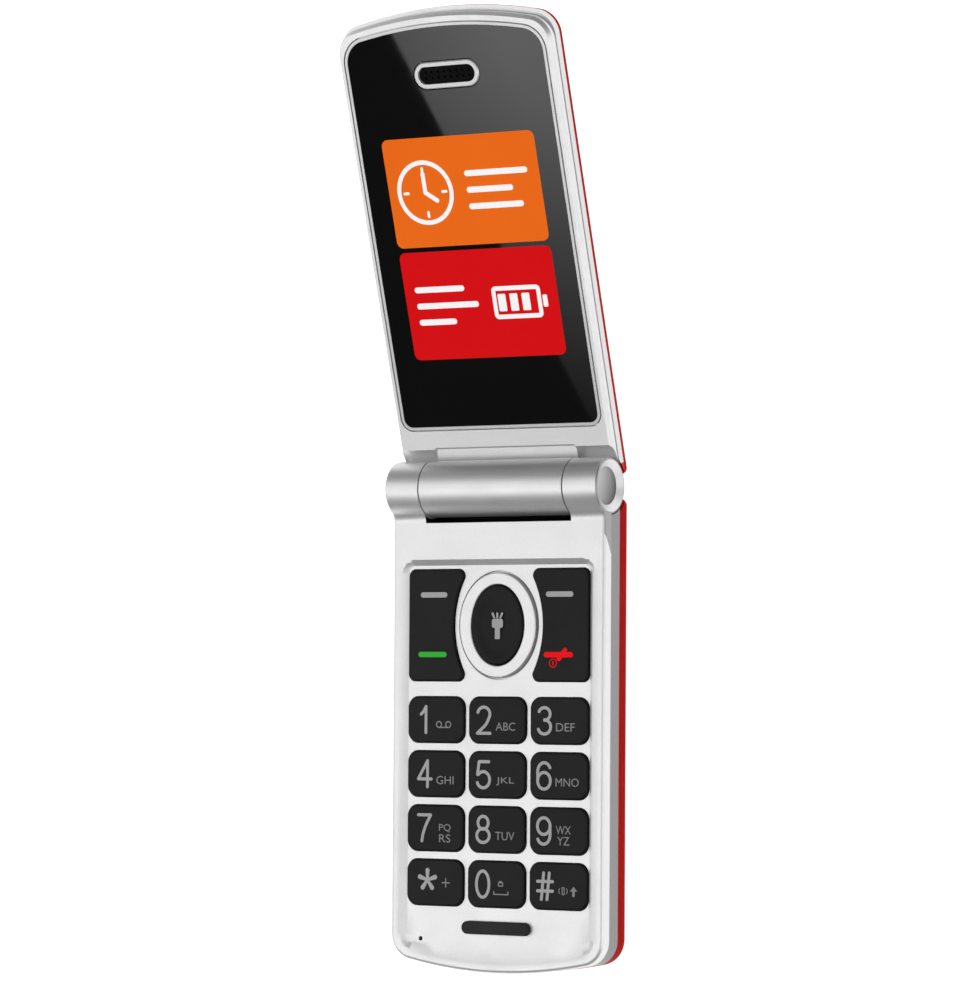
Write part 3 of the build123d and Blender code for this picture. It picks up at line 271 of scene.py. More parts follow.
class Effect(Enum):
    """Shader node groups that several finishes share."""

    GRAIN = "moulded_grain"
    MOTTLE = "soft_mottle"
    FLAKE = "paint_flake"
    BRUSH = "brushed_lines"
    DUST = "settled_dust"
    # painted shade: the trough round the barrel is coloured near-black where it lies in shadow
    TROUGH = "painted_trough_shade"
    FLANK = "knuckle_flank"
    LAP = "lapped_corner"
    # painted shade: the swelled caps darken towards their foot, as a dome lit from above
    CAP_SHADE = "painted_cap_shade"


class EffectKit:
    """Builds each shared effect once, as a node group whose outputs are masks and heights."""

    def __init__(self) -> None:
        """Starts with no group built."""
        self._trees: dict[Effect, Tree] = {}

    def tree(self, effect: Effect) -> Tree:
        """Gives an effect's node group, building it the first time.

        Args:
            effect: The effect wanted.

        Returns:
            Its node group.
        """
        if effect not in self._trees:
            makers = {
                Effect.GRAIN: self._grain,
                Effect.MOTTLE: self._mottle,
                Effect.FLAKE: self._flake,
                Effect.BRUSH: self._brush,
                Effect.DUST: self._dust,
                Effect.TROUGH: self._trough,
                Effect.FLANK: self._flank,
                Effect.LAP: self._lap,
                Effect.CAP_SHADE: self._cap_shade,
            }
            self._trees[effect] = makers[effect]()
        return self._trees[effect]

    @staticmethod
    def _group(
        name: str, inputs: dict[str, float], outputs: Sequence[str]
    ) -> tuple[Tree, bpy.types.Node, bpy.types.Node]:
        """Opens a group with number sockets.

        Args:
            name: The group's name.
            inputs: Each input's name and its usual value.
            outputs: The outputs' names.

        Returns:
            The tree, its input node and its output node.
        """
        tree = bpy.data.node_groups.new(name, "ShaderNodeTree")
        for label, value in inputs.items():
            socket = tree.interface.new_socket(label, in_out="INPUT", socket_type="NodeSocketFloat")
            socket.default_value = value
        for label in outputs:
            tree.interface.new_socket(label, in_out="OUTPUT", socket_type="NodeSocketFloat")
        return tree, tree.nodes.new("NodeGroupInput"), tree.nodes.new("NodeGroupOutput")

    def _grain(self) -> Tree:
        """Fine spark-eroded grain: noise on object coordinates, as a height."""
        tree, start, end = self._group("moulded_grain", {"Scale": FINE_SCALE}, ("Height",))
        tree.links.new(add_noise(tree, start.outputs["Scale"]), end.inputs["Height"])
        return tree

    def _mottle(self) -> Tree:
        """Slow drift of tone and gloss over a moulding: noise in five layers, stretched to 0..1."""
        inputs = {"Scale": 70.0, "Low": 0.3, "High": 0.7}
        tree, start, end = self._group("soft_mottle", inputs, ("Mask",))
        noise = add_noise(tree, start.outputs["Scale"], detail=4.0, roughness=0.6)
        mask = add_range(tree, noise, (start.outputs["Low"], start.outputs["High"]))
        tree.links.new(mask, end.inputs["Mask"])
        return tree

    def _flake(self) -> Tree:
        """Metal flakes in paint: each cell of a voronoi pattern has its own tone."""
        tree, start, end = self._group("paint_flake", {"Scale": FINE_SCALE}, ("Mask", "Height"))
        cells = tree.nodes.new("ShaderNodeTexVoronoi")
        split = tree.nodes.new("ShaderNodeSeparateColor")
        tree.links.new(object_place(tree), cells.inputs["Vector"])
        tree.links.new(start.outputs["Scale"], cells.inputs["Scale"])
        tree.links.new(cells.outputs["Color"], split.inputs["Color"])
        tree.links.new(split.outputs["Red"], end.inputs["Mask"])
        tree.links.new(split.outputs["Green"], end.inputs["Height"])
        return tree

    def _brush(self) -> Tree:
        """Fine lines along X, as on drawn or rolled metal: noise squeezed along one axis."""
        tree, start, end = self._group("brushed_lines", {"Scale": FINE_SCALE, "Stretch": 0.02}, ("Height",))
        squeeze = tree.nodes.new("ShaderNodeCombineXYZ")
        for label, value in (("X", start.outputs["Stretch"]), ("Y", 1.0), ("Z", 1.0)):
            feed(tree, value, squeeze.inputs[label])
        squeezed = tree.nodes.new("ShaderNodeVectorMath")
        squeezed.operation = "MULTIPLY"
        tree.links.new(object_place(tree), squeezed.inputs[0])
        tree.links.new(squeeze.outputs["Vector"], squeezed.inputs[1])
        lines = add_noise(tree, start.outputs["Scale"], detail=3.0, place=squeezed.outputs["Vector"])
        tree.links.new(lines, end.inputs["Height"])
        return tree

    def _dust(self) -> Tree:
        """Sparse specks of dust: the peaks of a fine noise, thinned by a coarse one."""
        tree, start, end = self._group("settled_dust", {"Scale": 2600.0, "Amount": 0.5}, ("Mask",))
        coarse = add_noise(tree, 120.0)
        peaks = add_range(tree, add_noise(tree, start.outputs["Scale"]), (0.72, 0.78))
        specks = add_math(tree, "MULTIPLY", peaks, coarse)
        share = add_math(tree, "MULTIPLY", specks, start.outputs["Amount"])
        tree.links.new(share, end.inputs["Mask"])
        return tree

    def _trough(self) -> Tree:
        """Painted shade in the trough round the barrel: 1 between two radii about the hinge and near the middle.
        """
        inputs = {"Inner": 0.0, "Outer": 7.62 * MM, "Half Width": 17.86 * MM}
        tree, start, end = self._group("painted_trough_shade", inputs, ("Mask",))
        across, _, _, radius = self._about_hinge(tree)
        beyond = add_math(tree, "GREATER_THAN", radius, start.outputs["Inner"])
        within = add_math(tree, "LESS_THAN", radius, start.outputs["Outer"])
        near = add_math(tree, "LESS_THAN", across, start.outputs["Half Width"])
        ring = add_math(tree, "MULTIPLY", beyond, within)
        tree.links.new(add_math(tree, "MULTIPLY", ring, near), end.inputs["Mask"])
        return tree

    def _flank(self) -> Tree:
        """The darker flanks of the knuckles: 1 out at the side, round the cap and down to a leaning line."""
        inputs = {"Half Width": 25.7 * MM, "Cap": 5.42 * MM, "Line": -13.65 * MM, "Lean": 1.71}
        tree, start, end = self._group("knuckle_flank", inputs, ("Mask",))
        across, along, height, radius = self._about_hinge(tree)
        outside = add_math(tree, "GREATER_THAN", across, start.outputs["Half Width"])
        clear = add_math(tree, "GREATER_THAN", radius, start.outputs["Cap"])
        leaning = add_math(tree, "SUBTRACT", along, add_math(tree, "MULTIPLY", height, start.outputs["Lean"]))
        above = add_math(tree, "GREATER_THAN", leaning, start.outputs["Line"])
        side = add_math(tree, "MULTIPLY", outside, clear)
        tree.links.new(add_math(tree, "MULTIPLY", side, above), end.inputs["Mask"])
        return tree

    def _lap(self) -> Tree:
        """The lid's corners beside the knuckles: 1 nearer to the hinge axis, up the lid, than the reach."""
        tree, start, end = self._group("lapped_corner", {"Reach": 3.36 * MM}, ("Mask",))
        _, along, height, _ = self._about_hinge(tree)
        shares = [
            add_math(tree, "MULTIPLY", way, step) for way, step in zip((along, height), lid_plane().along[1:])
        ]
        up = add_math(tree, "ADD", *shares)
        tree.links.new(add_math(tree, "LESS_THAN", up, start.outputs["Reach"]), end.inputs["Mask"])
        return tree

    def _cap_shade(self) -> Tree:
        """Painted shade over the swelled caps, darker towards the foot: 0 at the top to 1 at the foot, leaning to
        the keypad.
        """
        tree, start, end = self._group("painted_cap_shade", {"Radius": 3.95 * MM, "Lean": 0.3}, ("Mask",))
        _, along, height, _ = self._about_hinge(tree)
        rise = add_math(tree, "ADD", height, add_math(tree, "MULTIPLY", along, start.outputs["Lean"]))
        share = add_math(tree, "DIVIDE", rise, start.outputs["Radius"])
        tree.links.new(add_range(tree, share, (1.0, -1.0)), end.inputs["Mask"])
        return tree

    @staticmethod
    def _about_hinge(tree: Tree) -> tuple[Socket, Socket, Socket, Socket]:
        """Reads a point's place about the hinge axis.

        Args:
            tree: Where the nodes go.

        Returns:
            Its distance from the middle, its two places square to the axis, and its distance from the axis.
        """
        split = tree.nodes.new("ShaderNodeSeparateXYZ")
        tree.links.new(object_place(tree), split.inputs["Vector"])
        shifts = [
            add_math(tree, "SUBTRACT", split.outputs[axis], middle)
            for axis, middle in zip("YZ", joint_facts("lid_hinge")["pos_m"][1:])
        ]
        squares = [add_math(tree, "MULTIPLY", shift, shift) for shift in shifts]
        radius = add_math(tree, "SQRT", add_math(tree, "ADD", *squares))
        return add_math(tree, "ABSOLUTE", split.outputs["X"]), *shifts, radius


EFFECTS = EffectKit()


# ---------------------------------------------------------------- finishes


DUST_GREY: Colour = (0.55, 0.53, 0.50)
# near-black painted shade for the trough round the barrel
TROUGH_SHADE: Colour = (0.006, 0.006, 0.006)
COVER_RED: Colour = (0.62, 0.010, 0.008)


@dataclass(frozen=True)
class Finish:
    """One finish: what a maker would name it and how it meets light.

    Attributes:
        name: The material's name.
        colour: Linear base colour.
        second: Linear colour that the mottle drifts towards.
        roughness: Middle of the roughness.
        spread: How far the mottle moves the roughness, each way.
        metallic: Share of metal.
        specular: Level of the dielectric reflection, where 0.5 is common plastic.
        texture: The effect that gives the bump.
        bump: Strength of the bump.
        dust: Amount of settled dust.
        glow: Emission strength, in the base colour.
        transmission: Share of clear plastic.
        trough_shade_from: Radius about the hinge past which the trough round the barrel gets near-black painted
            shade, if it does.
        flank: Linear colour of the knuckles' flanks, if it differs.
        lap: Linear colour that laps over the lid's corners beside the knuckles, if one does.
        cap_shade: Linear colour of the painted shade at the foot of a swelled cap, if it has one.
        DEPTH: Depth of the bump.
        GLOSS_SCALE: Scale of the mottle that moves the roughness.
    """

    DEPTH: ClassVar[float] = 0.02 * MM
    GLOSS_SCALE: ClassVar[float] = 140.0

    name: str
    colour: Colour
    second: Colour
    roughness: float
    spread: float = 0.03
    metallic: float = 0.0
    specular: float = 0.5
    texture: Effect = Effect.GRAIN
    bump: float = 0.06
    dust: float = 0.0
    glow: float = 0.0
    transmission: float = 0.0
    trough_shade_from: float | None = None
    flank: Colour | None = None
    lap: Colour | None = None
    cap_shade: Colour | None = None

    def build(self) -> bpy.types.Material:
        """Makes the material, or gives it if it is already made.

        Returns:
            The material with its nodes.
        """
        found = bpy.data.materials.get(f"finish_{self.name}")
        if found:
            return found
        material = bpy.data.materials.new(f"finish_{self.name}")
        material.use_nodes = True
        shader = material.node_tree.nodes["Principled BSDF"]
        shader.inputs["Metallic"].default_value = self.metallic
        shader.inputs["Specular IOR Level"].default_value = self.specular
        shader.inputs["Transmission Weight"].default_value = self.transmission
        colour = self._colour(material)
        self._gloss(material, shader)
        self._relief(material, shader)
        material.node_tree.links.new(colour, shader.inputs["Base Color"])
        if self.glow:
            shader.inputs["Emission Strength"].default_value = self.glow
            material.node_tree.links.new(colour, shader.inputs["Emission Color"])
        return material

    @staticmethod
    def _effect(material: bpy.types.Material, effect: Effect, **values: float) -> bpy.types.Node:
        """Places a shared effect in a material.

        Args:
            material: Where it goes.
            effect: Which effect.
            **values: Values for its inputs, by name.

        Returns:
            The group node.
        """
        node = material.node_tree.nodes.new("ShaderNodeGroup")
        node.node_tree = EFFECTS.tree(effect)
        for label, value in values.items():
            node.inputs[label].default_value = value
        return node

    @staticmethod
    def _blend(material: bpy.types.Material, mask: Socket, under: Socket | Colour, over: Colour) -> Socket:
        """Mixes two colours by a mask.

        Args:
            material: Where the node goes.
            mask: 0 shows the under colour and 1 the over colour.
            under: A colour, or the socket that gives one.
            over: The other colour.

        Returns:
            The mixed colour's socket.
        """
        mix = material.node_tree.nodes.new("ShaderNodeMix")
        mix.data_type = "RGBA"
        for label, value in (("Factor", mask), ("A", under), ("B", over)):
            feed(material.node_tree, value, mix.inputs[label])
        return mix.outputs["Result"]

    def _colour(self, material: bpy.types.Material) -> Socket:
        """Works out the surface's colour: mottle or flakes, dust, then each place with a colour of its own.

        Those places are the trough round the barrel and the foot of the swelled caps, which get painted shade, and
        the knuckles' flanks and the lapped corners, which have colours of their own.

        Args:
            material: The material being made.

        Returns:
            The colour's socket.
        """
        drift = self._effect(material, Effect.FLAKE if self.texture is Effect.FLAKE else Effect.MOTTLE)
        colour = self._blend(material, drift.outputs["Mask"], self.colour, self.second)
        layers = (
            (Effect.DUST, {"Amount": self.dust}, DUST_GREY if self.dust else None),
            # painted shade in the trough round the barrel
            (Effect.TROUGH, {"Inner": self.trough_shade_from}, None if self.trough_shade_from is None else TROUGH_SHADE),
            (Effect.FLANK, {}, self.flank),
            (Effect.LAP, {}, self.lap),
            # painted shade, darker towards the foot of each swelled cap
            (Effect.CAP_SHADE, {}, self.cap_shade),
        )
        for effect, values, over in layers:
            if over is not None:
                layer = self._effect(material, effect, **values)
                colour = self._blend(material, layer.outputs["Mask"], colour, over)
        return colour

    def _gloss(self, material: bpy.types.Material, shader: bpy.types.Node) -> None:
        """Lets the roughness drift by the mottle.

        Args:
            material: The material being made.
            shader: Its Principled shader.
        """
        drift = self._effect(material, Effect.MOTTLE, Scale=self.GLOSS_SCALE)
        span = max(self.roughness - self.spread, 0.0), self.roughness + self.spread
        gloss = add_range(material.node_tree, drift.outputs["Mask"], wanted=span)
        material.node_tree.links.new(gloss, shader.inputs["Roughness"])

    def _relief(self, material: bpy.types.Material, shader: bpy.types.Node) -> None:
        """Gives the surface its fine bump.

        Args:
            material: The material being made.
            shader: Its Principled shader.
        """
        texture = self._effect(material, self.texture)
        bump = material.node_tree.nodes.new("ShaderNodeBump")
        bump.inputs["Strength"].default_value = self.bump
        bump.inputs["Distance"].default_value = self.DEPTH
        material.node_tree.links.new(texture.outputs["Height"], bump.inputs["Height"])
        material.node_tree.links.new(bump.outputs["Normal"], shader.inputs["Normal"])


PEARL_PAINT = Finish(
    "pearl_paint", (0.80, 0.80, 0.80), (0.74, 0.74, 0.745), 0.43, metallic=0.8, texture=Effect.FLAKE
)
PALE_BAND = Finish(
    "pale_band",
    (0.78, 0.78, 0.78),
    (0.72, 0.72, 0.725),
    0.42,
    metallic=0.7,
    texture=Effect.FLAKE,
    lap=COVER_RED,
)
GREY_BAND = Finish(
    "grey_band", (0.36, 0.36, 0.365), (0.31, 0.31, 0.315), 0.42, metallic=0.35, texture=Effect.FLAKE
)
# the red covers are coloured near-black round the barrel: painted shade in the trough
RED_GLOSS = Finish(
    "red_gloss", COVER_RED, (0.56, 0.008, 0.007), 0.35, specular=0.02, dust=0.15, trough_shade_from=0.0
)
# the front cover's trough wall, past 6.3 mm from the hinge axis, is coloured near-black: painted shade
COVER_PAINT = replace(
    PEARL_PAINT,
    name="pearl_paint_cover",
    trough_shade_from=6.3 * MM,
    flank=(0.35, 0.35, 0.355),
)
KEY_BLACK = Finish("key_black", (0.012, 0.012, 0.012), (0.009, 0.009, 0.009), 0.42, specular=0.14)
SOFT_BLACK = Finish("soft_black", (0.018, 0.018, 0.018), (0.013, 0.013, 0.013), 0.6, specular=0.3)
HARD_BLACK = Finish("hard_black", (0.012, 0.012, 0.012), (0.02, 0.02, 0.02), 0.5, specular=0.4)
WINDOW_BLACK = Finish(
    "window_black",
    (0.0022, 0.0022, 0.0022),
    (0.0016, 0.0016, 0.0016),
    0.02,
    spread=0.005,
    specular=0.3,
    bump=0.0,
)
BRIGHT_TRIM = Finish(
    "bright_trim", (0.64, 0.64, 0.64), (0.60, 0.60, 0.605), 0.32, metallic=0.4, texture=Effect.FLAKE
)
CAP_SILVER = Finish(
    "cap_silver",
    (0.46, 0.46, 0.46),
    (0.42, 0.42, 0.425),
    0.40,
    metallic=0.85,
    texture=Effect.FLAKE,
    # the cap darkens towards its foot: painted shade, as on a dome lit from above
    cap_shade=(0.03, 0.03, 0.03),
)
MESH_BLACK = Finish("mesh_black", (0.0035, 0.0035, 0.0035), (0.0025, 0.0025, 0.0025), 0.7, specular=0.1)
LEGEND_GREY = Finish("legend_grey", (0.52, 0.52, 0.52), (0.47, 0.47, 0.47), 0.5, specular=0.1)
LEGEND_DIM = Finish("legend_dim", (0.33, 0.33, 0.33), (0.29, 0.29, 0.29), 0.5, specular=0.1)
# The green and red prints glow a little in their own colour: painted light on plain print.
LEGEND_GREEN = Finish("legend_green", (0.05, 0.50, 0.05), (0.04, 0.46, 0.04), 0.5, specular=0.05, glow=0.15)
LEGEND_RED = Finish("legend_red", (0.85, 0.006, 0.010), (0.80, 0.005, 0.008), 0.5, specular=0.05, glow=0.3)
TILE_ORANGE = Finish(
    "tile_orange", (0.84, 0.147, 0.0116), (0.82, 0.140, 0.011), 0.5, specular=0.0, glow=0.30, bump=0.0
)
TILE_RED = Finish(
    "tile_red", (0.672, 0.007, 0.0091), (0.655, 0.0065, 0.0085), 0.5, specular=0.0, glow=0.30, bump=0.0
)
TILE_WHITE = Finish(
    "tile_white", (0.95, 0.95, 0.95), (0.92, 0.92, 0.92), 0.5, specular=0.0, glow=0.30, bump=0.0
)
SPRING_STEEL = Finish(
    "spring_steel", (0.55, 0.55, 0.56), (0.47, 0.47, 0.48), 0.25, metallic=1.0, texture=Effect.BRUSH
)
TINNED_STEEL = Finish(
    "tinned_steel", (0.60, 0.60, 0.59), (0.50, 0.50, 0.49), 0.34, metallic=1.0, texture=Effect.BRUSH
)
BLACK_STEEL = Finish(
    "black_steel", (0.12, 0.12, 0.125), (0.17, 0.17, 0.17), 0.36, metallic=1.0, texture=Effect.BRUSH
)
GOLD_PLATE = Finish(
    "gold_plate", (0.80, 0.52, 0.17), (0.70, 0.43, 0.13), 0.22, metallic=1.0, texture=Effect.BRUSH
)
SILICONE = Finish("silicone", (0.35, 0.36, 0.38), (0.31, 0.32, 0.34), 0.62, specular=0.3)
LAMINATE = Finish("laminate", (0.012, 0.13, 0.045), (0.02, 0.19, 0.07), 0.38, texture=Effect.BRUSH)
WRAP_FILM = Finish("wrap_film", (0.04, 0.04, 0.045), (0.055, 0.055, 0.06), 0.46, dust=0.3)
FLEX_FILM = Finish("flex_film", (0.42, 0.17, 0.02), (0.50, 0.22, 0.03), 0.3)
LENS_CLEAR = Finish(
    "lens_clear", (0.85, 0.85, 0.80), (0.80, 0.80, 0.74), 0.28, transmission=0.6, texture=Effect.BRUSH
)

SLOT_FINISHES: dict[str, Finish] = {
    "white_shell": PEARL_PAINT,
    "silver_shell": PEARL_PAINT,
    "light_band": PALE_BAND,
    "grey_frame": GREY_BAND,
    "red_cover": RED_GLOSS,
    "black_key": KEY_BLACK,
    "silicone": SILICONE,
    "spring_steel": SPRING_STEEL,
    "circuit_board": LAMINATE,
    "tinned_steel": TINNED_STEEL,
    "battery_pack": WRAP_FILM,
    "gold_contacts": GOLD_PLATE,
    "black_parts": HARD_BLACK,
    "bumper_rubber": SOFT_BLACK,
    "screw_steel": BLACK_STEEL,
    "silver_cap": CAP_SILVER,
    "flex_cable": FLEX_FILM,
    "window_glass": WINDOW_BLACK,
    "bright_ring": BRIGHT_TRIM,
    "display_panel": HARD_BLACK,
    "clear_lens": LENS_CLEAR,
}


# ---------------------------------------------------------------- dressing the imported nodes


@dataclass
class NodeDresser:
    """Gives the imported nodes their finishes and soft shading.

    Attributes:
        weld: Distance under which loose corners are one.
        crease: Edge angle in degrees above which an edge stays sharp.
        special: Nodes whose finish isn't the usual one of their slot.
    """

    weld: float = 0.002 * MM
    crease: float = 28.6
    special: dict[str, Finish] = field(
        default_factory=lambda: {
            "front_cover": COVER_PAINT,
            "window_trim": BRIGHT_TRIM,
            "earpiece_mesh": MESH_BLACK,
        }
    )

    def dress(self) -> None:
        """Dresses every node of the frame."""
        tree = self._soft_edges()
        for part in frame["record"]["subparts"]:
            name = part["node"]
            node = frame["nodes"][name]
            finish = self.special.get(name, SLOT_FINISHES[part["material_slot"]])
            node.data.materials.clear()
            node.data.materials.append(finish.build())
            smooth = node.modifiers.new("soft_edges", "NODES")
            smooth.node_group = tree
            even = node.modifiers.new("even_normals", "WEIGHTED_NORMAL")
            even.keep_sharp = True
        LOG.info("dressed %d packed nodes", len(frame["nodes"]))

    def _soft_edges(self) -> Tree:
        """Makes the geometry nodes that weld loose triangles and shade them smooth.

        Returns:
            The tree: weld, smooth every face, then keep each edge sharp whose angle is above the crease.
        """
        tree = bpy.data.node_groups.new("soft_edges", "GeometryNodeTree")
        for side in ("INPUT", "OUTPUT"):
            tree.interface.new_socket("Geometry", in_out=side, socket_type="NodeSocketGeometry")
        start, end = tree.nodes.new("NodeGroupInput"), tree.nodes.new("NodeGroupOutput")
        weld = tree.nodes.new("GeometryNodeMergeByDistance")
        weld.inputs["Distance"].default_value = self.weld
        faces = tree.nodes.new("GeometryNodeSetShadeSmooth")
        edges = tree.nodes.new("GeometryNodeSetShadeSmooth")
        edges.domain = "EDGE"
        edges.inputs["Shade Smooth"].default_value = False
        angle = tree.nodes.new("GeometryNodeInputMeshEdgeAngle")
        above = tree.nodes.new("FunctionNodeCompare")
        above.operation = "GREATER_THAN"
        above.inputs["B"].default_value = math.radians(self.crease)
        tree.links.new(start.outputs["Geometry"], weld.inputs["Geometry"])
        tree.links.new(weld.outputs["Geometry"], faces.inputs["Geometry"])
        tree.links.new(faces.outputs["Geometry"], edges.inputs["Geometry"])
        tree.links.new(angle.outputs["Unsigned Angle"], above.inputs["A"])
        tree.links.new(above.outputs["Result"], edges.inputs["Selection"])
        tree.links.new(edges.outputs["Geometry"], end.inputs["Geometry"])
        return tree


# ---------------------------------------------------------------- flat shapes


@dataclass
class Flat:
    """Flat shapes in millimetres, gathered into one mesh.

    Each shape lies a hair above the one before, so that none share a plane.

    Attributes:
        LAYER: How far each shape lies above the one before, in metres.
        TIP_ROWS: Rows of points round each end of a stroke.
        TIP_ANGLE: How far the last of them goes round its quarter turn, in degrees.
        MIN_RADIUS: Least corner radius of the inside of a frame.
        TEXT_STEPS: Steps on each curve of a letter.
        points: Blocks of points.
        levels: For each block, the height of its points.
        faces: Each face's corners, counted over all blocks.
        count: Points gathered so far.
    """

    LAYER: ClassVar[float] = 0.001 * MM
    TIP_ROWS: ClassVar[int] = 5
    TIP_ANGLE: ClassVar[float] = 84.0
    MIN_RADIUS: ClassVar[float] = 0.01
    TEXT_STEPS: ClassVar[int] = 4

    points: list[np.ndarray] = field(default_factory=list)
    levels: list[np.ndarray] = field(default_factory=list)
    faces: list[list[int]] = field(default_factory=list)
    count: int = 0

    def add(self, points: np.ndarray, faces: np.ndarray | list[list[int]]) -> None:
        """Adds a block.

        Args:
            points: Its points.
            faces: Its faces, counted from its first point.
        """
        self.levels.append(np.full((len(points), 1), self.LAYER * len(self.points)))
        self.points.append(points)
        if isinstance(faces, np.ndarray):
            self.faces.extend((faces + self.count).tolist())
        else:
            self.faces.extend([[corner + self.count for corner in face] for face in faces])
        self.count += len(points)

    def stroke(self, path: np.ndarray, width: float, tip: float | None = None) -> None:
        """Adds a pen stroke: a ribbon along a path with round ends.

        The ribbon's grid is the path plus its left-hand normal times the half width times s, for s from -1
        to 1. Past each end, rows at angle a of a half circle step on by sin(a) and narrow by cos(a). A path
        that comes back to its start is a closed ring without ends.

        Args:
            path: Points of the pen's middle line.
            width: The stroke's width at its start.
            tip: The width at its end, if it tapers.
        """
        side = np.array((1.0, 0.0, -1.0))
        if len(path) > 2 and np.allclose(path[0], path[-1]):
            loop = path[:-1]
            step = np.roll(loop, -1, 0) - np.roll(loop, 1, 0)
            normal = np.column_stack((-step[:, 1], step[:, 0])) / np.linalg.norm(step, axis=1, keepdims=True)
            grid = loop[:, None, :] + normal[:, None, :] * (width / 2 * side)[:, None]
            self.add(grid.reshape(-1, 2), grid_faces(len(loop), len(side), closed=True))
            return
        step = np.gradient(path, axis=0)
        tangent = step / np.linalg.norm(step, axis=1, keepdims=True)
        half = np.linspace(width, width if tip is None else tip, len(path)) / 2
        angle = np.radians(np.linspace(0.0, self.TIP_ANGLE, self.TIP_ROWS + 1)[1:])
        ahead = path[-1] + np.outer(np.sin(angle) * half[-1], tangent[-1])
        behind = (path[0] - np.outer(np.sin(angle) * half[0], tangent[0]))[::-1]
        line = np.vstack((behind, path, ahead))
        reach = np.concatenate((np.cos(angle)[::-1] * half[0], half, np.cos(angle) * half[-1]))
        heading = np.pad(tangent, ((self.TIP_ROWS, self.TIP_ROWS), (0, 0)), mode="edge")
        normal = np.column_stack((-heading[:, 1], heading[:, 0]))
        grid = line[:, None, :] + normal[:, None, :] * (reach[:, None] * side)[:, :, None]
        self.add(grid.reshape(-1, 2), grid_faces(len(line), len(side)))

    def panel(self, centre: Sequence[float], half: Sequence[float], radius: float, hole: float = 0.0) -> None:
        """Adds a rectangle with round corners, whole or as a frame.

        A whole panel is a fan of triangles from its outline to its middle. A frame is a strip between two
        outlines, the inner one smaller by the frame's width on every side.

        Args:
            centre: Its middle.
            half: Its half width and half height.
            radius: Its corner radius.
            hole: Width of the frame, or 0 for a whole panel.
        """
        middle = np.array(centre)
        outer = rounded_outline(half, radius)
        if hole:
            inner = rounded_outline([h - hole for h in half], max(radius - hole, self.MIN_RADIUS))
            grid = np.stack((outer, inner), axis=1) + middle
            self.add(grid.reshape(-1, 2), grid_faces(len(outer), 2, closed=True))
            return
        count = len(outer)
        fan = np.column_stack((np.arange(count), np.roll(np.arange(count), -1), np.full(count, count)))
        self.add(np.vstack((outer, np.zeros((1, 2)))) + middle, fan)

    def text(self, words: str, centre: Sequence[float], size: float, width: float | None = None) -> None:
        """Adds plain lettering in the built-in type.

        Args:
            words: What it says.
            centre: Its middle.
            size: Height of its capitals.
            width: Its whole width, if that is set.
        """
        curve = bpy.data.curves.new("lettering", "FONT")
        curve.body = words
        curve.resolution_u = self.TEXT_STEPS
        holder = bpy.data.objects.new("lettering", curve)
        bpy.context.scene.collection.objects.link(holder)
        bpy.context.view_layer.update()
        mesh = bpy.data.meshes.new_from_object(holder.evaluated_get(bpy.context.evaluated_depsgraph_get()))
        points = mesh_points(mesh)[:, :2]
        faces = [list(polygon.vertices) for polygon in mesh.polygons]
        bpy.data.objects.remove(holder)
        low, high = points.min(0), points.max(0)
        tall = size / (high[1] - low[1])
        wide = tall if width is None else width / (high[0] - low[0])
        self.add((points - (low + high) / 2) * (wide, tall) + np.array(centre), faces)


def grid_faces(rows: int, columns: int, closed: bool = False) -> np.ndarray:
    """Gives the four-cornered faces of a grid of points.

    Args:
        rows: Points along the first parameter.
        columns: Points along the second.
        closed: Whether the last row joins the first.

    Returns:
        One row of four corners for each face.
    """
    first = np.arange(rows if closed else rows - 1)[:, None] * columns + np.arange(columns - 1)
    after = (np.arange(1, rows + 1 if closed else rows) % rows)[:, None] * columns + np.arange(columns - 1)
    return np.stack((first, first + 1, after + 1, after), axis=-1).reshape(-1, 4)[:, ::-1]


def rounded_outline(half: Sequence[float], radius: float, steps: int = 8) -> np.ndarray:
    """Gives the outline of a rectangle with round corners, counter-clockwise.

    Args:
        half: Half width and half height.
        radius: Corner radius.
        steps: Points on each corner.

    Returns:
        The points: each corner's centre plus the radius times (cos a, sin a) over its quarter turn.
    """
    turn = np.radians(np.linspace(0.0, 90.0, steps))
    quarter = np.arange(4)[:, None] * math.pi / 2 + turn
    corner = np.array(((1, 1), (-1, 1), (-1, -1), (1, -1))) * (np.array(half) - radius)
    ring = np.stack((np.cos(quarter), np.sin(quarter)), axis=-1) * radius + corner[:, None, :]
    return ring.reshape(-1, 2)


def arc(
    centre: Sequence[float], reach: Sequence[float], start: float, stop: float, steps: int = 24
) -> np.ndarray:
    """Gives points of an ellipse's arc.

    Args:
        centre: Its centre.
        reach: Its half axes.
        start: First angle in degrees.
        stop: Last angle.
        steps: Number of points.

    Returns:
        The centre plus (cos a, sin a) times the half axes.
    """
    angle = np.radians(np.linspace(start, stop, steps))
    return np.column_stack((np.cos(angle), np.sin(angle))) * np.array(reach) + np.array(centre)


def run(*corners: Sequence[float], steps: int = 9) -> np.ndarray:
    """Gives a smooth line through a few points.

    Args:
        *corners: The points to pass.
        steps: Points on each span between two of them.

    Returns:
        Points of the cubic through each span, whose slopes are half the step between its neighbours.
    """
    given = np.array(corners, float)
    if len(given) == 2:
        return given
    slope = np.gradient(given, axis=0)
    t = np.linspace(0.0, 1.0, steps)[:, None, None]
    spans = (
        (2 * t**3 - 3 * t**2 + 1) * given[:-1]
        + (t**3 - 2 * t**2 + t) * slope[:-1]
        + (3 * t**2 - 2 * t**3) * given[1:]
        + (t**3 - t**2) * slope[1:]
    )
    line = spans.transpose(1, 0, 2).reshape(-1, 2)
    fresh = np.linalg.norm(np.diff(line, axis=0), axis=1) > SAME_POINT
    return line[np.concatenate(([True], fresh))]


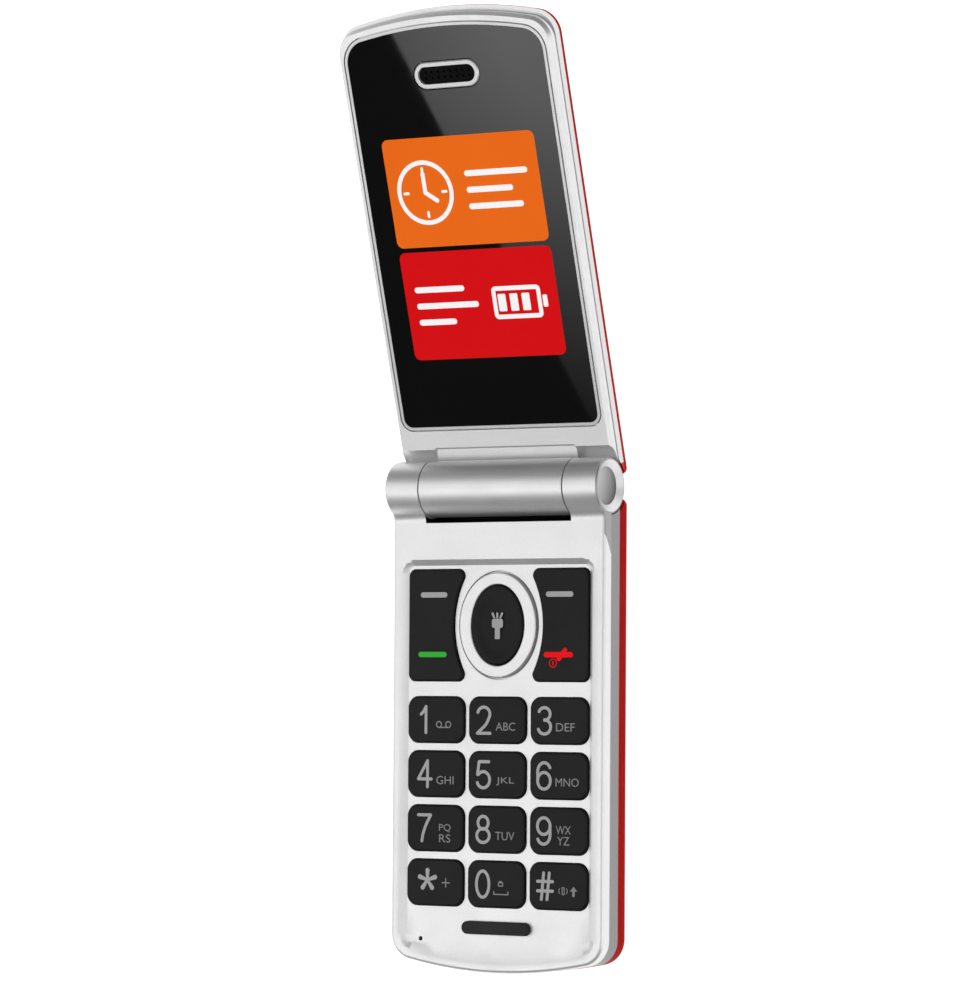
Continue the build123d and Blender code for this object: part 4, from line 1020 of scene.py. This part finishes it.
@dataclass(frozen=True)
class PrintShop:
    """Turns flat shapes into thin printed pieces, in metres.

    Attributes:
        rise: How far a print stands above its surface.
        sink: How far it reaches below.
    """

    rise: float = 0.012 * MM
    sink: float = 0.05 * MM

    def piece(
        self, name: str, flat: Flat, plane: WorkPlane, finish: Finish, body: str, slot: str
    ) -> bpy.types.Object:
        """Makes a printed piece and lets it ride.

        Args:
            name: The piece's name.
            flat: Its shapes.
            plane: Where they are printed.
            finish: Its finish.
            body: The body it rides on.
            slot: The record's material slot; not used.

        Returns:
            The piece.
        """
        mesh = bpy.data.meshes.new(name)
        heights = np.vstack(flat.levels) + self.rise
        mesh.from_pydata(plane.place(np.vstack(flat.points) * MM, heights), [], flat.faces)
        mesh.validate()
        mesh.materials.append(finish.build())
        piece = bpy.data.objects.new(name, mesh)
        bpy.context.scene.collection.objects.link(piece)
        body_of_ink = piece.modifiers.new("ink", "SOLIDIFY")
        body_of_ink.thickness = self.rise + self.sink
        body_of_ink.offset = -1.0
        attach(piece, body)
        return piece


PRINT = PrintShop()


# ---------------------------------------------------------------- keypad legends


@dataclass
class DigitPen:
    """Draws the large figures of the keys with a pen of one width, in millimetres.

    Attributes:
        half_width: Half the width of the pen's path.
        half_height: Half its height.
        pen: Width of the stroke.
        star_reach: Where each arm of the star starts and ends, from its middle.
        star_pen: Width of an arm at its start and its end.
    """

    half_width: float = 1.62
    half_height: float = 2.74
    pen: float = 0.66
    star_reach: tuple[float, float] = (0.2, 2.0)
    star_pen: tuple[float, float] = (0.6, 1.0)

    def paths(self, figure: str) -> list[np.ndarray]:
        """Gives a figure's strokes on a field from -1 to 1 both ways.

        Args:
            figure: A digit or a hash.

        Returns:
            The strokes' paths.
        """
        figures = {
            "0": [arc((0, 0), (0.95, 1), 90, 450, 40)],
            "1": [run((-0.62, 0.42), (-0.28, 0.62), (0.12, 1.0)), run((0.12, 1.0), (0.12, -1.0))],
            "2": [
                np.vstack((
                    arc((0, 0.47), (0.93, 0.53), 165, -12, 20),
                    run((0.86, 0.25), (0.35, -0.3), (-0.45, -0.74), (-0.97, -1.0))[1:],
                )),
                run((-0.97, -1.0), (0.97, -1.0)),
            ],
            "3": [arc((0, 0.52), (0.86, 0.48), 158, -88, 22), arc((0, -0.46), (0.95, 0.54), 88, -160, 26)],
            "4": [
                run((0.42, 1.0), (-1.0, -0.4)),
                run((-1.0, -0.4), (1.0, -0.4)),
                run((0.42, 1.0), (0.42, -1.0)),
            ],
            "5": [
                run((0.8, 1.0), (-0.66, 1.0)),
                run((-0.66, 1.0), (-0.9, 0.02)),
                arc((-0.02, -0.38), (0.97, 0.62), 140, -158, 28),
            ],
            "6": [
                np.vstack((
                    arc((0.02, 0.3), (0.97, 0.7), 28, 180, 20),
                    arc((0.0, -0.37), (0.95, 0.63), 180, 200, 4),
                )),
                arc((0, -0.37), (0.95, 0.63), 0, 360, 34),
            ],
            "7": [
                run((-0.95, 1.0), (0.95, 1.0)),
                run((0.95, 1.0), (0.25, 0.25), (-0.2, -0.45), (-0.38, -1.0)),
            ],
            "8": [arc((0, 0.51), (0.78, 0.49), 0, 360, 30), arc((0, -0.47), (0.95, 0.53), 0, 360, 32)],
            "9": [
                np.vstack((
                    arc((-0.02, -0.3), (0.97, 0.7), 208, 360, 20),
                    arc((0, 0.37), (0.95, 0.63), 0, 20, 4),
                )),
                arc((0, 0.37), (0.95, 0.63), 0, 360, 34),
            ],
            "#": [
                run((-0.54, -1.0), (-0.22, 1.0)),
                run((-1.12, -0.36), (1.12, -0.36)),
                run((0.3, -1.0), (0.62, 1.0)),
                run((-1.12, 0.36), (1.12, 0.36)),
            ],
        }
        return figures[figure]

    def draw(self, flat: Flat, figure: str, centre: Sequence[float]) -> None:
        """Draws a figure.

        Args:
            flat: Where the shapes go.
            figure: A digit, a star or a hash.
            centre: The figure's middle.
        """
        middle = np.array(centre)
        if figure == "*":
            for angle in math.pi / 2 + np.arange(5) * math.tau / 5:
                arm = np.outer(self.star_reach, (math.cos(angle), math.sin(angle)))
                flat.stroke(middle + arm, *self.star_pen)
            return
        for path in self.paths(figure):
            flat.stroke(middle + path * (self.half_width, self.half_height), self.pen)


@dataclass
class NumberKeys:
    """The printed figures and letters of the twelve number keys, in millimetres.

    Attributes:
        pen: The pen of the figures.
        letter: Height of the small capitals.
        fine: Width of the fine pen for small signs.
        columns: Where the figures of the three columns of keys stand, across from the key's middle.
        shifts: How far across and up a figure stands from that place, if it does.
        legends: For each key, its figure, its column, and its small words: the letters, their middle's
            place across and up, and their width.
    """

    pen: DigitPen = field(default_factory=DigitPen)
    letter: float = 1.72
    fine: float = 0.24
    columns: tuple[float, float, float] = (-2.55, -3.1, -3.4)
    shifts: dict[str, tuple[float, float]] = field(
        default_factory=lambda: {"*": (0.85, 0.5), "#": (0.4, 0.0)}
    )
    legends: dict[str, tuple[str, int, tuple[tuple[str, float, float, float], ...]]] = field(
        default_factory=lambda: {
            "key_1": ("1", 0, ()),
            "key_2": ("2", 1, (("ABC", 2.2, -1.3, 4.8),)),
            "key_3": ("3", 2, (("DEF", 1.65, -1.3, 4.5),)),
            "key_4": ("4", 0, (("GHI", 2.45, -1.3, 4.3),)),
            "key_5": ("5", 1, (("JKL", 2.2, -1.3, 4.4),)),
            "key_6": ("6", 2, (("MNO", 2.15, -1.3, 5.6),)),
            "key_7": ("7", 0, (("PQ", 2.5, 0.05, 2.9), ("RS", 2.5, -2.1, 2.8))),
            "key_8": ("8", 1, (("TUV", 2.2, -1.3, 4.7),)),
            "key_9": ("9", 2, (("WX", 1.3, 0.25, 3.6), ("YZ", 1.3, -2.0, 2.9))),
            "key_star": ("*", 0, ()),
            "key_0": ("0", 1, ()),
            "key_hash": ("#", 2, ()),
        }
    )

    def build(self) -> None:
        """Prints every number key."""
        for node, (figure, column, words) in self.legends.items():
            large, small = Flat(), Flat()
            shift, lift = self.shifts.get(figure, (0.0, 0.0))
            self.pen.draw(large, figure, (self.columns[column] + shift, lift))
            for text, across, up, width in words:
                small.text(text, (across, up), self.letter, width)
            self._signs(small, node)
            top = keypad_plane(node)
            PRINT.piece(f"figure_{node}", large, top, LEGEND_GREY, node, "black_key")
            PRINT.piece(f"letters_{node}", small, top, LEGEND_DIM, node, "black_key")
        LOG.info("number keys: %d legends", len(self.legends))

    def _signs(self, flat: Flat, node: str) -> None:
        """Draws the small service signs of the keys that carry one.

        Args:
            flat: Where the shapes go.
            node: The key.
        """
        if node == "key_1":
            for across in (0.9, 3.2):
                flat.stroke(arc((across, -1.0), (0.62, 0.62), 0, 360), self.fine)
            flat.stroke(run((0.9, -1.62), (3.2, -1.62)), self.fine)
        elif node == "key_star":
            flat.stroke(run((1.95, 0.0), (3.75, 0.0)), self.fine)
            flat.stroke(run((2.85, -0.9), (2.85, 0.9)), self.fine)
        elif node == "key_0":
            flat.panel((1.25, 0.05), (0.62, 0.46), 0.15, 0.22)
            flat.stroke(run((1.0, 0.62), (1.5, 0.62)), 0.26)
            tray = np.array(((-0.35, -1.45), (-0.35, -2.05), (3.1, -2.05), (3.1, -1.45)))
            for side in range(3):
                flat.stroke(tray[side : side + 2], self.fine)
        elif node == "key_hash":
            flat.panel((1.35, -0.9), (0.34, 0.82), 0.16, 0.2)
            for start, stop in ((215, 145), (-35, 35)):
                flat.stroke(arc((1.35, -0.9), (1.0, 0.9), start, stop, 8), 0.18)
            flat.stroke(run((3.85, -1.75), (3.85, -0.7)), 0.62)
            flat.add(np.array(((2.95, -0.9), (4.75, -0.9), (3.85, 0.1))), [[0, 1, 2]])


@dataclass
class FunctionKeys:
    """The printed dashes, call signs and lamp sign of the keys round the ring, in millimetres.

    Places are counted from the phone's middle line and from the middle of the oval key.

    Attributes:
        dashes: For each side key, how far out the middle of its dash stands.
        dash: Half width of a dash.
        thick: Height of a dash.
        dash_up: How far up the dashes stand.
        answer: Both ends of the answer sign.
        hang_up: Both ends of the bar of the hang-up sign.
        call_down: How far up both call signs stand, which is below the oval key's middle.
        handset: Both ends of the handset that lies on that bar.
        handset_pen: The handset's width at each end.
        power: Middle of the power sign.
        power_ring: Radius and width of its ring.
        power_bar: Half height and width of its bar.
    """

    dashes: dict[str, float] = field(default_factory=lambda: {"left": -15.65, "right": 15.2})
    dash: float = 2.75
    thick: float = 1.12
    dash_up: float = 6.4
    answer: tuple[float, float] = (-18.9, -13.0)
    hang_up: tuple[float, float] = (12.0, 17.9)
    call_down: float = -6.2
    handset: tuple[tuple[float, float], tuple[float, float]] = ((15.1, -7.0), (16.6, -5.2))
    handset_pen: tuple[float, float] = (1.1, 0.9)
    power: tuple[float, float] = (13.7, -7.95)
    power_ring: tuple[float, float] = (0.86, 0.17)
    power_bar: tuple[float, float] = (0.3, 0.3)

    def build(self) -> None:
        """Prints both side keys and the oval key."""
        low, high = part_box("ok_key")
        middle = (low[1] + high[1]) / 2
        for side, reach in self.dashes.items():
            node = f"function_key_{side}"
            face = keypad_plane(node)
            plane = replace(face, origin=np.array((0.0, middle, face.origin[2])))
            dash, call = Flat(), Flat()
            self._level(dash, (reach - self.dash, reach + self.dash), self.dash_up)
            PRINT.piece(f"legend_{node}_dash", dash, plane, LEGEND_GREY, node, "black_key")
            if side == "left":
                self._level(call, self.answer, self.call_down)
                PRINT.piece(f"legend_{node}_answer", call, plane, LEGEND_GREEN, node, "black_key")
            else:
                self._hang_up(call)
                PRINT.piece(f"legend_{node}_hang_up", call, plane, LEGEND_RED, node, "black_key")
        lamp = Flat()
        self._lamp(lamp)
        PRINT.piece("legend_ok_key", lamp, keypad_plane("ok_key"), LEGEND_GREY, "ok_key", "black_key")
        LOG.info("function keys: five signs")

    def _level(self, flat: Flat, ends: tuple[float, float], up: float) -> None:
        """Draws a level dash.

        Args:
            flat: Where the shape goes.
            ends: Where it starts and stops, across.
            up: How far up it stands.
        """
        flat.stroke(run((ends[0], up), (ends[1], up)), self.thick)

    def _hang_up(self, flat: Flat) -> None:
        """Draws the hang-up bar with its handset and the small power sign below it.

        Args:
            flat: Where the shapes go.
        """
        self._level(flat, self.hang_up, self.call_down)
        flat.stroke(run(*self.handset), *self.handset_pen)
        radius, line = self.power_ring
        flat.stroke(arc(self.power, (radius, radius), 0, 360), line)
        half, width = self.power_bar
        across, up = self.power
        flat.stroke(run((across, up + half), (across, up - half)), width)

    def _lamp(self, flat: Flat) -> None:
        """Draws a hand lamp: head, handle and three rays.

        Args:
            flat: Where the shapes go.
        """
        flat.panel((0.1, 0.35), (1.35, 0.95), 0.5)
        flat.panel((0.1, -1.6), (0.62, 1.35), 0.15)
        for foot, tip in ((-0.65, -1.05), (0.1, 0.1), (0.85, 1.25)):
            flat.stroke(run((foot, 1.55), (tip, 2.4)), 0.42, 0.5)


# ---------------------------------------------------------------- screen content


@dataclass
class ScreenCards:
    """Two lit cards on the screen, each with a plain sign and bars, in millimetres.

    Attributes:
        half_width: Half the cards' width.
        upper: Lowest and highest place of the upper card, up the lid from the hinge axis.
        lower: The same of the lower card.
        corner: Their corner radius.
        pen: Width of the signs' lines.
        clock_across: How far across the clock stands.
        clock_radius: The clock's radius.
        mark: Width of its marks.
        mark_reach: Where a mark starts and ends, in radii from the clock's middle.
        hands: Where each hand ends, in radii.
        battery_across: How far across the battery stands.
        upper_bars: How far across the upper card's bars stand, and their lengths.
        lower_bars: The same of the lower card's.
        bar_pitch: From one bar to the next.
        bar: Height of a bar.
        SIGN_GAP: How far the signs lie above the cards, in metres.
    """

    SIGN_GAP: ClassVar[float] = 0.01 * MM

    half_width: float = 18.58
    upper: tuple[float, float] = (51.77, 74.99)
    lower: tuple[float, float] = (27.58, 50.78)
    corner: float = 1.5
    pen: float = 0.95
    clock_across: float = -9.6
    clock_radius: float = 6.4
    mark: float = 0.6
    mark_reach: tuple[float, float] = (0.66, 0.8)
    hands: tuple[tuple[float, float], ...] = ((0.0, 0.62), (0.41, -0.285))
    battery_across: float = 8.6
    upper_bars: tuple[float, tuple[float, ...]] = (8.2, (14.0, 10.0, 12.0))
    lower_bars: tuple[float, tuple[float, ...]] = (-8.4, (11.0, 14.0, 8.0))
    bar_pitch: float = 3.5
    bar: float = 1.25

    def build(self) -> None:
        """Makes both cards and their signs."""
        glass = lid_plane().lifted("display_window")
        cards = (("upper", self.upper, TILE_ORANGE), ("lower", self.lower, TILE_RED))
        for name, (foot, head), finish in cards:
            card = Flat()
            card.panel((0.0, (foot + head) / 2), (self.half_width, (head - foot) / 2), self.corner)
            lit = PRINT.piece(f"card_{name}", card, glass, finish, "lid", "display_panel")
            lit.visible_glossy = False
        clock, charge = Flat(), Flat()
        self._clock(clock, (self.clock_across, sum(self.upper) / 2))
        self._bars(clock, sum(self.upper) / 2, *self.upper_bars)
        self._battery(charge, (self.battery_across, sum(self.lower) / 2))
        self._bars(charge, sum(self.lower) / 2, *self.lower_bars)
        above = glass.raised(self.SIGN_GAP)
        PRINT.piece("card_upper_sign", clock, above, TILE_WHITE, "lid", "display_panel")
        PRINT.piece("card_lower_sign", charge, above, TILE_WHITE, "lid", "display_panel")
        LOG.info("screen cards: two cards with signs")

    def _clock(self, flat: Flat, centre: Sequence[float]) -> None:
        """Draws a clock: a ring, four marks and two hands.

        Args:
            flat: Where the shapes go.
            centre: The clock's middle.
        """
        middle, radius = np.array(centre), self.clock_radius
        flat.stroke(arc(centre, (radius, radius), 0, 360, 48), self.pen)
        for turn in np.arange(4) * math.pi / 2:
            spoke = np.outer(self.mark_reach, (math.cos(turn), math.sin(turn)))
            flat.stroke(middle + spoke * radius, self.mark)
        for hand in self.hands:
            flat.stroke(middle + np.array(((0.0, 0.0), hand)) * radius, self.pen)

    def _bars(self, flat: Flat, middle: float, across: float, lengths: Sequence[float]) -> None:
        """Draws three lines of placeholder copy as plain bars.

        Args:
            flat: Where the shapes go.
            middle: How far up the second bar stands.
            across: How far across the longest bar's middle stands.
            lengths: Each bar's length, from the top.
        """
        left = across - max(lengths) / 2
        for row, length in enumerate(lengths):
            up = middle + (1 - row) * self.bar_pitch
            flat.stroke(run((left, up), (left + length, up)), self.bar)

    def _battery(self, flat: Flat, centre: Sequence[float]) -> None:
        """Draws a battery lying flat: a frame, its cap and three bars of charge.

        Args:
            flat: Where the shapes go.
            centre: The battery's middle.
        """
        across, up = centre
        flat.panel(centre, (5.9, 3.5), 1.0, self.pen)
        flat.panel((across + 6.8, up), (0.55, 1.3), 0.35)
        for step in (-3.625, -0.725, 2.175):
            flat.panel((across + step, up), (0.95, 1.85), 0.25)


# ---------------------------------------------------------------- studio


@dataclass(frozen=True)
class Softbox:
    """A soft light that faces the phone.

    Attributes:
        name: Its name.
        toward: Direction from the phone to the light.
        distance: How far away it hangs.
        size: Its width and height.
        power: Its power in watts.
    """

    name: str
    toward: Place
    distance: float
    size: tuple[float, float]
    power: float

    def hang(self, aim: Sequence[float]) -> bpy.types.Object:
        """Hangs the light.

        Args:
            aim: The point that it faces.

        Returns:
            The light.
        """
        data = bpy.data.lights.new(self.name, "AREA")
        data.shape = "RECTANGLE"
        data.size, data.size_y = self.size
        data.energy = self.power
        light = bpy.data.objects.new(self.name, data)
        bpy.context.scene.collection.objects.link(light)
        away = Vector(self.toward).normalized()
        light.location = Vector(aim) + away * self.distance
        light.rotation_mode = "QUATERNION"
        light.rotation_quaternion = away.to_track_quat("Z", "Y")
        return light


@dataclass(frozen=True)
class WindowCard:
    """The card whose slanted edge shows in the screen window.

    Attributes:
        facing: The direction that it looks.
        middle: The point that its places are counted from.
        rise: Its highest and lowest place.
        width: From its slanted edge to its far edge.
        lean: How far the slanted edge steps aside for each step up.
        shift: How far aside that edge is at the middle.
        grid: Points along the slanted edge and away from it.
        dark_below: Place under which its glow is least.
        fade: From there to the place of its full glow.
        power: How steeply the glow comes up between the two.
        glow: How much the glow gains from the one to the other, and what it starts from.
        edge_level: The share of the glow at the slanted edge.
        edge_fade: Distance over which a whole share is added to that.
        edge_limit: The most that the share comes to.
        strength: The emission of a glow of 1.
        ATTRIBUTE: The name under which the mesh keeps its glow.
    """

    ATTRIBUTE: ClassVar[str] = "level"

    facing: Place = (-0.523, -0.390, 0.758)
    middle: Place = (-0.4707, -0.2263, 0.7107)
    rise: tuple[float, float] = (0.12, -0.20)
    width: float = 0.16
    lean: float = 0.153
    shift: float = -0.002258
    grid: tuple[int, int] = (13, 5)
    dark_below: float = -0.135
    fade: float = 0.165
    power: float = 1.4
    glow: tuple[float, float] = (0.94, 0.1)
    edge_level: float = 0.68
    edge_fade: float = 0.11
    edge_limit: float = 1.05
    strength: float = 4.0

    def mesh(self) -> bpy.types.Mesh:
        """Makes the card's mesh.

        A point at height v and at distance w from the slanted edge lies aside by w plus the shift less the
        lean times v. Its glow is the gain times ((v - dark_below) / fade) to the power, plus the start,
        times the share (edge_level + w / edge_fade).

        Returns:
            The mesh, with its glow in an attribute.
        """
        away = Vector(self.facing).normalized()
        across = Vector((0.0, 1.0, 0.0)).cross(away).normalized()
        rows, columns = self.grid
        up = np.linspace(*self.rise, rows)[:, None]
        out = np.linspace(0.0, self.width, columns)[None, :]
        aside = (out + self.shift - self.lean * up)[..., None]
        place = np.array(Vector(self.middle)) + aside * np.array(across)
        place = place + up[..., None] * np.array(away.cross(across))
        mesh = bpy.data.meshes.new("window_card")
        mesh.from_pydata(place.reshape(-1, 3), [], grid_faces(rows, columns).tolist())
        gain, start = self.glow
        level = np.clip((up - self.dark_below) / self.fade, 0.0, 1.0) ** self.power * gain + start
        level = level * np.clip(self.edge_level + out / self.edge_fade, 0.0, self.edge_limit)
        shade = mesh.attributes.new(self.ATTRIBUTE, "FLOAT", "POINT")
        shade.data.foreach_set("value", level.ravel().astype(np.float32))
        return mesh


@dataclass
class Studio:
    """The floor, the soft light and the camera.

    Attributes:
        eye: The camera's place.
        aim: The point in the middle of its view.
        roll: Its roll in degrees.
        lens: Focal length in millimetres on the film.
        film: Width of the film in millimetres.
        clip: Nearest and furthest distance that the camera sees.
        ambient: How bright the world is as a light, where 1 is how it looks.
        tent_tone: How bright the tent is.
        tent_radius: The tent's radius.
        tent_grid: The tent's points round and up.
        tent_rise: Where the tent's wall starts and stops, in degrees above the horizon.
        floor_tone: The floor's grey under the lamps.
        floor_lift: How much white is added to what is seen of the floor.
        floor_reach: Half the floor's width.
        floor_level: The floor's height, a hair under the phone.
        floor_roughness: The floor's roughness.
        overhead: The large light above.
        side_fill: The light from the right.
        card: The card over the window.
    """

    eye: Place = (469.136 * MM, 9.450 * MM, 778.764 * MM)
    aim: Place = (-2.224 * MM, 51.422 * MM, 10.4 * MM)
    roll: float = 0.3826
    lens: float = 157.421
    film: float = 36.0
    clip: tuple[float, float] = (0.01, 20.0)
    ambient: float = 0.20
    tent_tone: float = 0.16
    tent_radius: float = 4.0
    tent_grid: tuple[int, int] = (48, 13)
    tent_rise: tuple[float, float] = (2.0, 88.0)
    floor_tone: float = 0.80
    floor_lift: float = 0.84
    floor_reach: float = 3.0
    floor_level: float = -0.02 * MM
    floor_roughness: float = 0.9
    overhead: Softbox = Softbox("overhead_softbox", (-0.47, -0.02, 0.883), 0.9, (0.85, 1.9), 5.4)
    side_fill: Softbox = Softbox("side_fill", (0.80, -0.20, 0.50), 1.3, (0.9, 0.9), 5.0)
    card: WindowCard = WindowCard()

    def build(self) -> None:
        """Sets up the studio."""
        bpy.context.scene.view_settings.view_transform = "Standard"
        self._camera()
        self._world()
        self._floor()
        self._tent()
        overhead = self.overhead.hang(self.aim)
        self.side_fill.hang(self.aim)
        self._keep_off(overhead, "display_window")
        self._window_card()
        LOG.info("studio: camera, floor, tent, two softboxes and a card")

    def _keep_off(self, light: bpy.types.Object, node: str) -> None:
        """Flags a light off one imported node.

        Args:
            light: The light.
            node: The node that it leaves dark.
        """
        shaded = bpy.data.collections.new(f"off_{node}")
        shaded.objects.link(frame["nodes"][node])
        light.light_linking.receiver_collection = shaded
        shaded.collection_objects[0].light_linking.link_state = "EXCLUDE"

    def _only_reflected(self, piece: bpy.types.Object) -> None:
        """Links a studio piece to the scene and hides it from everything but reflections.

        Args:
            piece: The piece.
        """
        bpy.context.scene.collection.objects.link(piece)
        piece.visible_camera = False
        piece.visible_diffuse = False
        piece.visible_shadow = False
        piece.visible_transmission = False

    @staticmethod
    def _plain(name: str, tone: float = 0.0) -> tuple[bpy.types.Material, bpy.types.Node]:
        """Makes a grey material that has no gloss and can glow white.

        Args:
            name: The material's name.
            tone: Its grey.

        Returns:
            The material and its shader.
        """
        material = bpy.data.materials.new(name)
        material.use_nodes = True
        shader = material.node_tree.nodes["Principled BSDF"]
        shader.inputs["Base Color"].default_value = (tone, tone, tone, 1.0)
        shader.inputs["Specular IOR Level"].default_value = 0.0
        shader.inputs["Emission Color"].default_value = WHITE
        return material, shader

    def _tent(self) -> None:
        """Pitches the grey tent that gloss reflects.

        It is a half sphere: the radius times (cos a cos b, sin a cos b, sin b), for a round the horizon and
        b from just above it to just under the top.
        """
        columns, rows = self.tent_grid
        around = np.linspace(0.0, math.tau, columns + 1)[:-1, None]
        up = np.radians(np.linspace(*self.tent_rise, rows))[None, :]
        ring = np.stack(
            np.broadcast_arrays(np.cos(around) * np.cos(up), np.sin(around) * np.cos(up), np.sin(up)), axis=-1
        )
        faces = grid_faces(columns, rows, closed=True).tolist()
        mesh = bpy.data.meshes.new("tent")
        mesh.from_pydata((ring * self.tent_radius).reshape(-1, 3), [], faces)
        material, shader = self._plain("tent_cloth")
        shader.inputs["Emission Strength"].default_value = self.tent_tone
        mesh.materials.append(material)
        self._only_reflected(bpy.data.objects.new("tent", mesh))

    def _window_card(self) -> None:
        """Hangs the card over the window and lets it glow by what its mesh says."""
        mesh = self.card.mesh()
        material, shader = self._plain("card_cloth")
        tree = material.node_tree
        level = tree.nodes.new("ShaderNodeAttribute")
        level.attribute_name = self.card.ATTRIBUTE
        glow = add_math(tree, "MULTIPLY", level.outputs["Fac"], self.card.strength)
        tree.links.new(glow, shader.inputs["Emission Strength"])
        mesh.materials.append(material)
        self._only_reflected(bpy.data.objects.new("window_card", mesh))

    def _camera(self) -> None:
        """Places the camera: it looks from the eye to the aim, with +Y up the picture, then rolls."""
        data = bpy.data.cameras.new("camera")
        data.lens = self.lens
        data.sensor_width = self.film
        data.clip_start, data.clip_end = self.clip
        camera = bpy.data.objects.new("camera", data)
        bpy.context.scene.collection.objects.link(camera)
        back = (Vector(self.eye) - Vector(self.aim)).normalized()
        right = Vector((0.0, 1.0, 0.0)).cross(back).normalized()
        turn = Matrix((right, back.cross(right), back)).transposed().to_4x4()
        roll = Matrix.Rotation(math.radians(self.roll), 4, "Z")
        camera.matrix_world = Matrix.Translation(self.eye) @ turn @ roll
        bpy.context.scene.camera = camera

    @staticmethod
    def _seen(tree: Tree) -> Socket:
        """Gives 1 for camera, glossy and transmission rays and 0 for the rest.

        Args:
            tree: The node tree to work in.

        Returns:
            The socket of that value.
        """
        path = tree.nodes.new("ShaderNodeLightPath")
        seen = path.outputs["Is Camera Ray"]
        for label in ("Is Glossy Ray", "Is Transmission Ray"):
            seen = add_math(tree, "ADD", seen, path.outputs[label], clamp=True)
        return seen

    def _world(self) -> None:
        """Makes a world that lights softly and looks white."""
        world = bpy.data.worlds.new("studio")
        bpy.context.scene.world = world
        world.use_nodes = True
        tree = world.node_tree
        shade = tree.nodes["Background"]
        shade.inputs["Color"].default_value = WHITE
        level = add_range(tree, self._seen(tree), wanted=(self.ambient, 1.0))
        tree.links.new(level, shade.inputs["Strength"])

    def _floor(self) -> None:
        """Makes the pale floor: plain white paint that looks fully white where no shadow falls."""
        mesh = bpy.data.meshes.new("floor")
        corners = np.array(((-1, -1, 0), (1, -1, 0), (1, 1, 0), (-1, 1, 0))) * self.floor_reach
        mesh.from_pydata(corners + (0.0, 0.0, self.floor_level), [], [[0, 1, 2, 3]])
        floor = bpy.data.objects.new("floor", mesh)
        bpy.context.scene.collection.objects.link(floor)
        material, shader = self._plain("floor_paint", self.floor_tone)
        tree = material.node_tree
        shader.inputs["Roughness"].default_value = self.floor_roughness
        lift = add_math(tree, "MULTIPLY", self._seen(tree), self.floor_lift)
        tree.links.new(lift, shader.inputs["Emission Strength"])
        mesh.materials.append(material)


# ---------------------------------------------------------------- whole phone


def main() -> None:
    """Builds the studio and dresses the phone, piece by piece."""
    logging.basicConfig(level=logging.INFO, format="%(message)s")
    Studio().build()
    NodeDresser().dress()
    NumberKeys().build()
    FunctionKeys().build()
    ScreenCards().build()


if __name__ == "__main__":
    main()
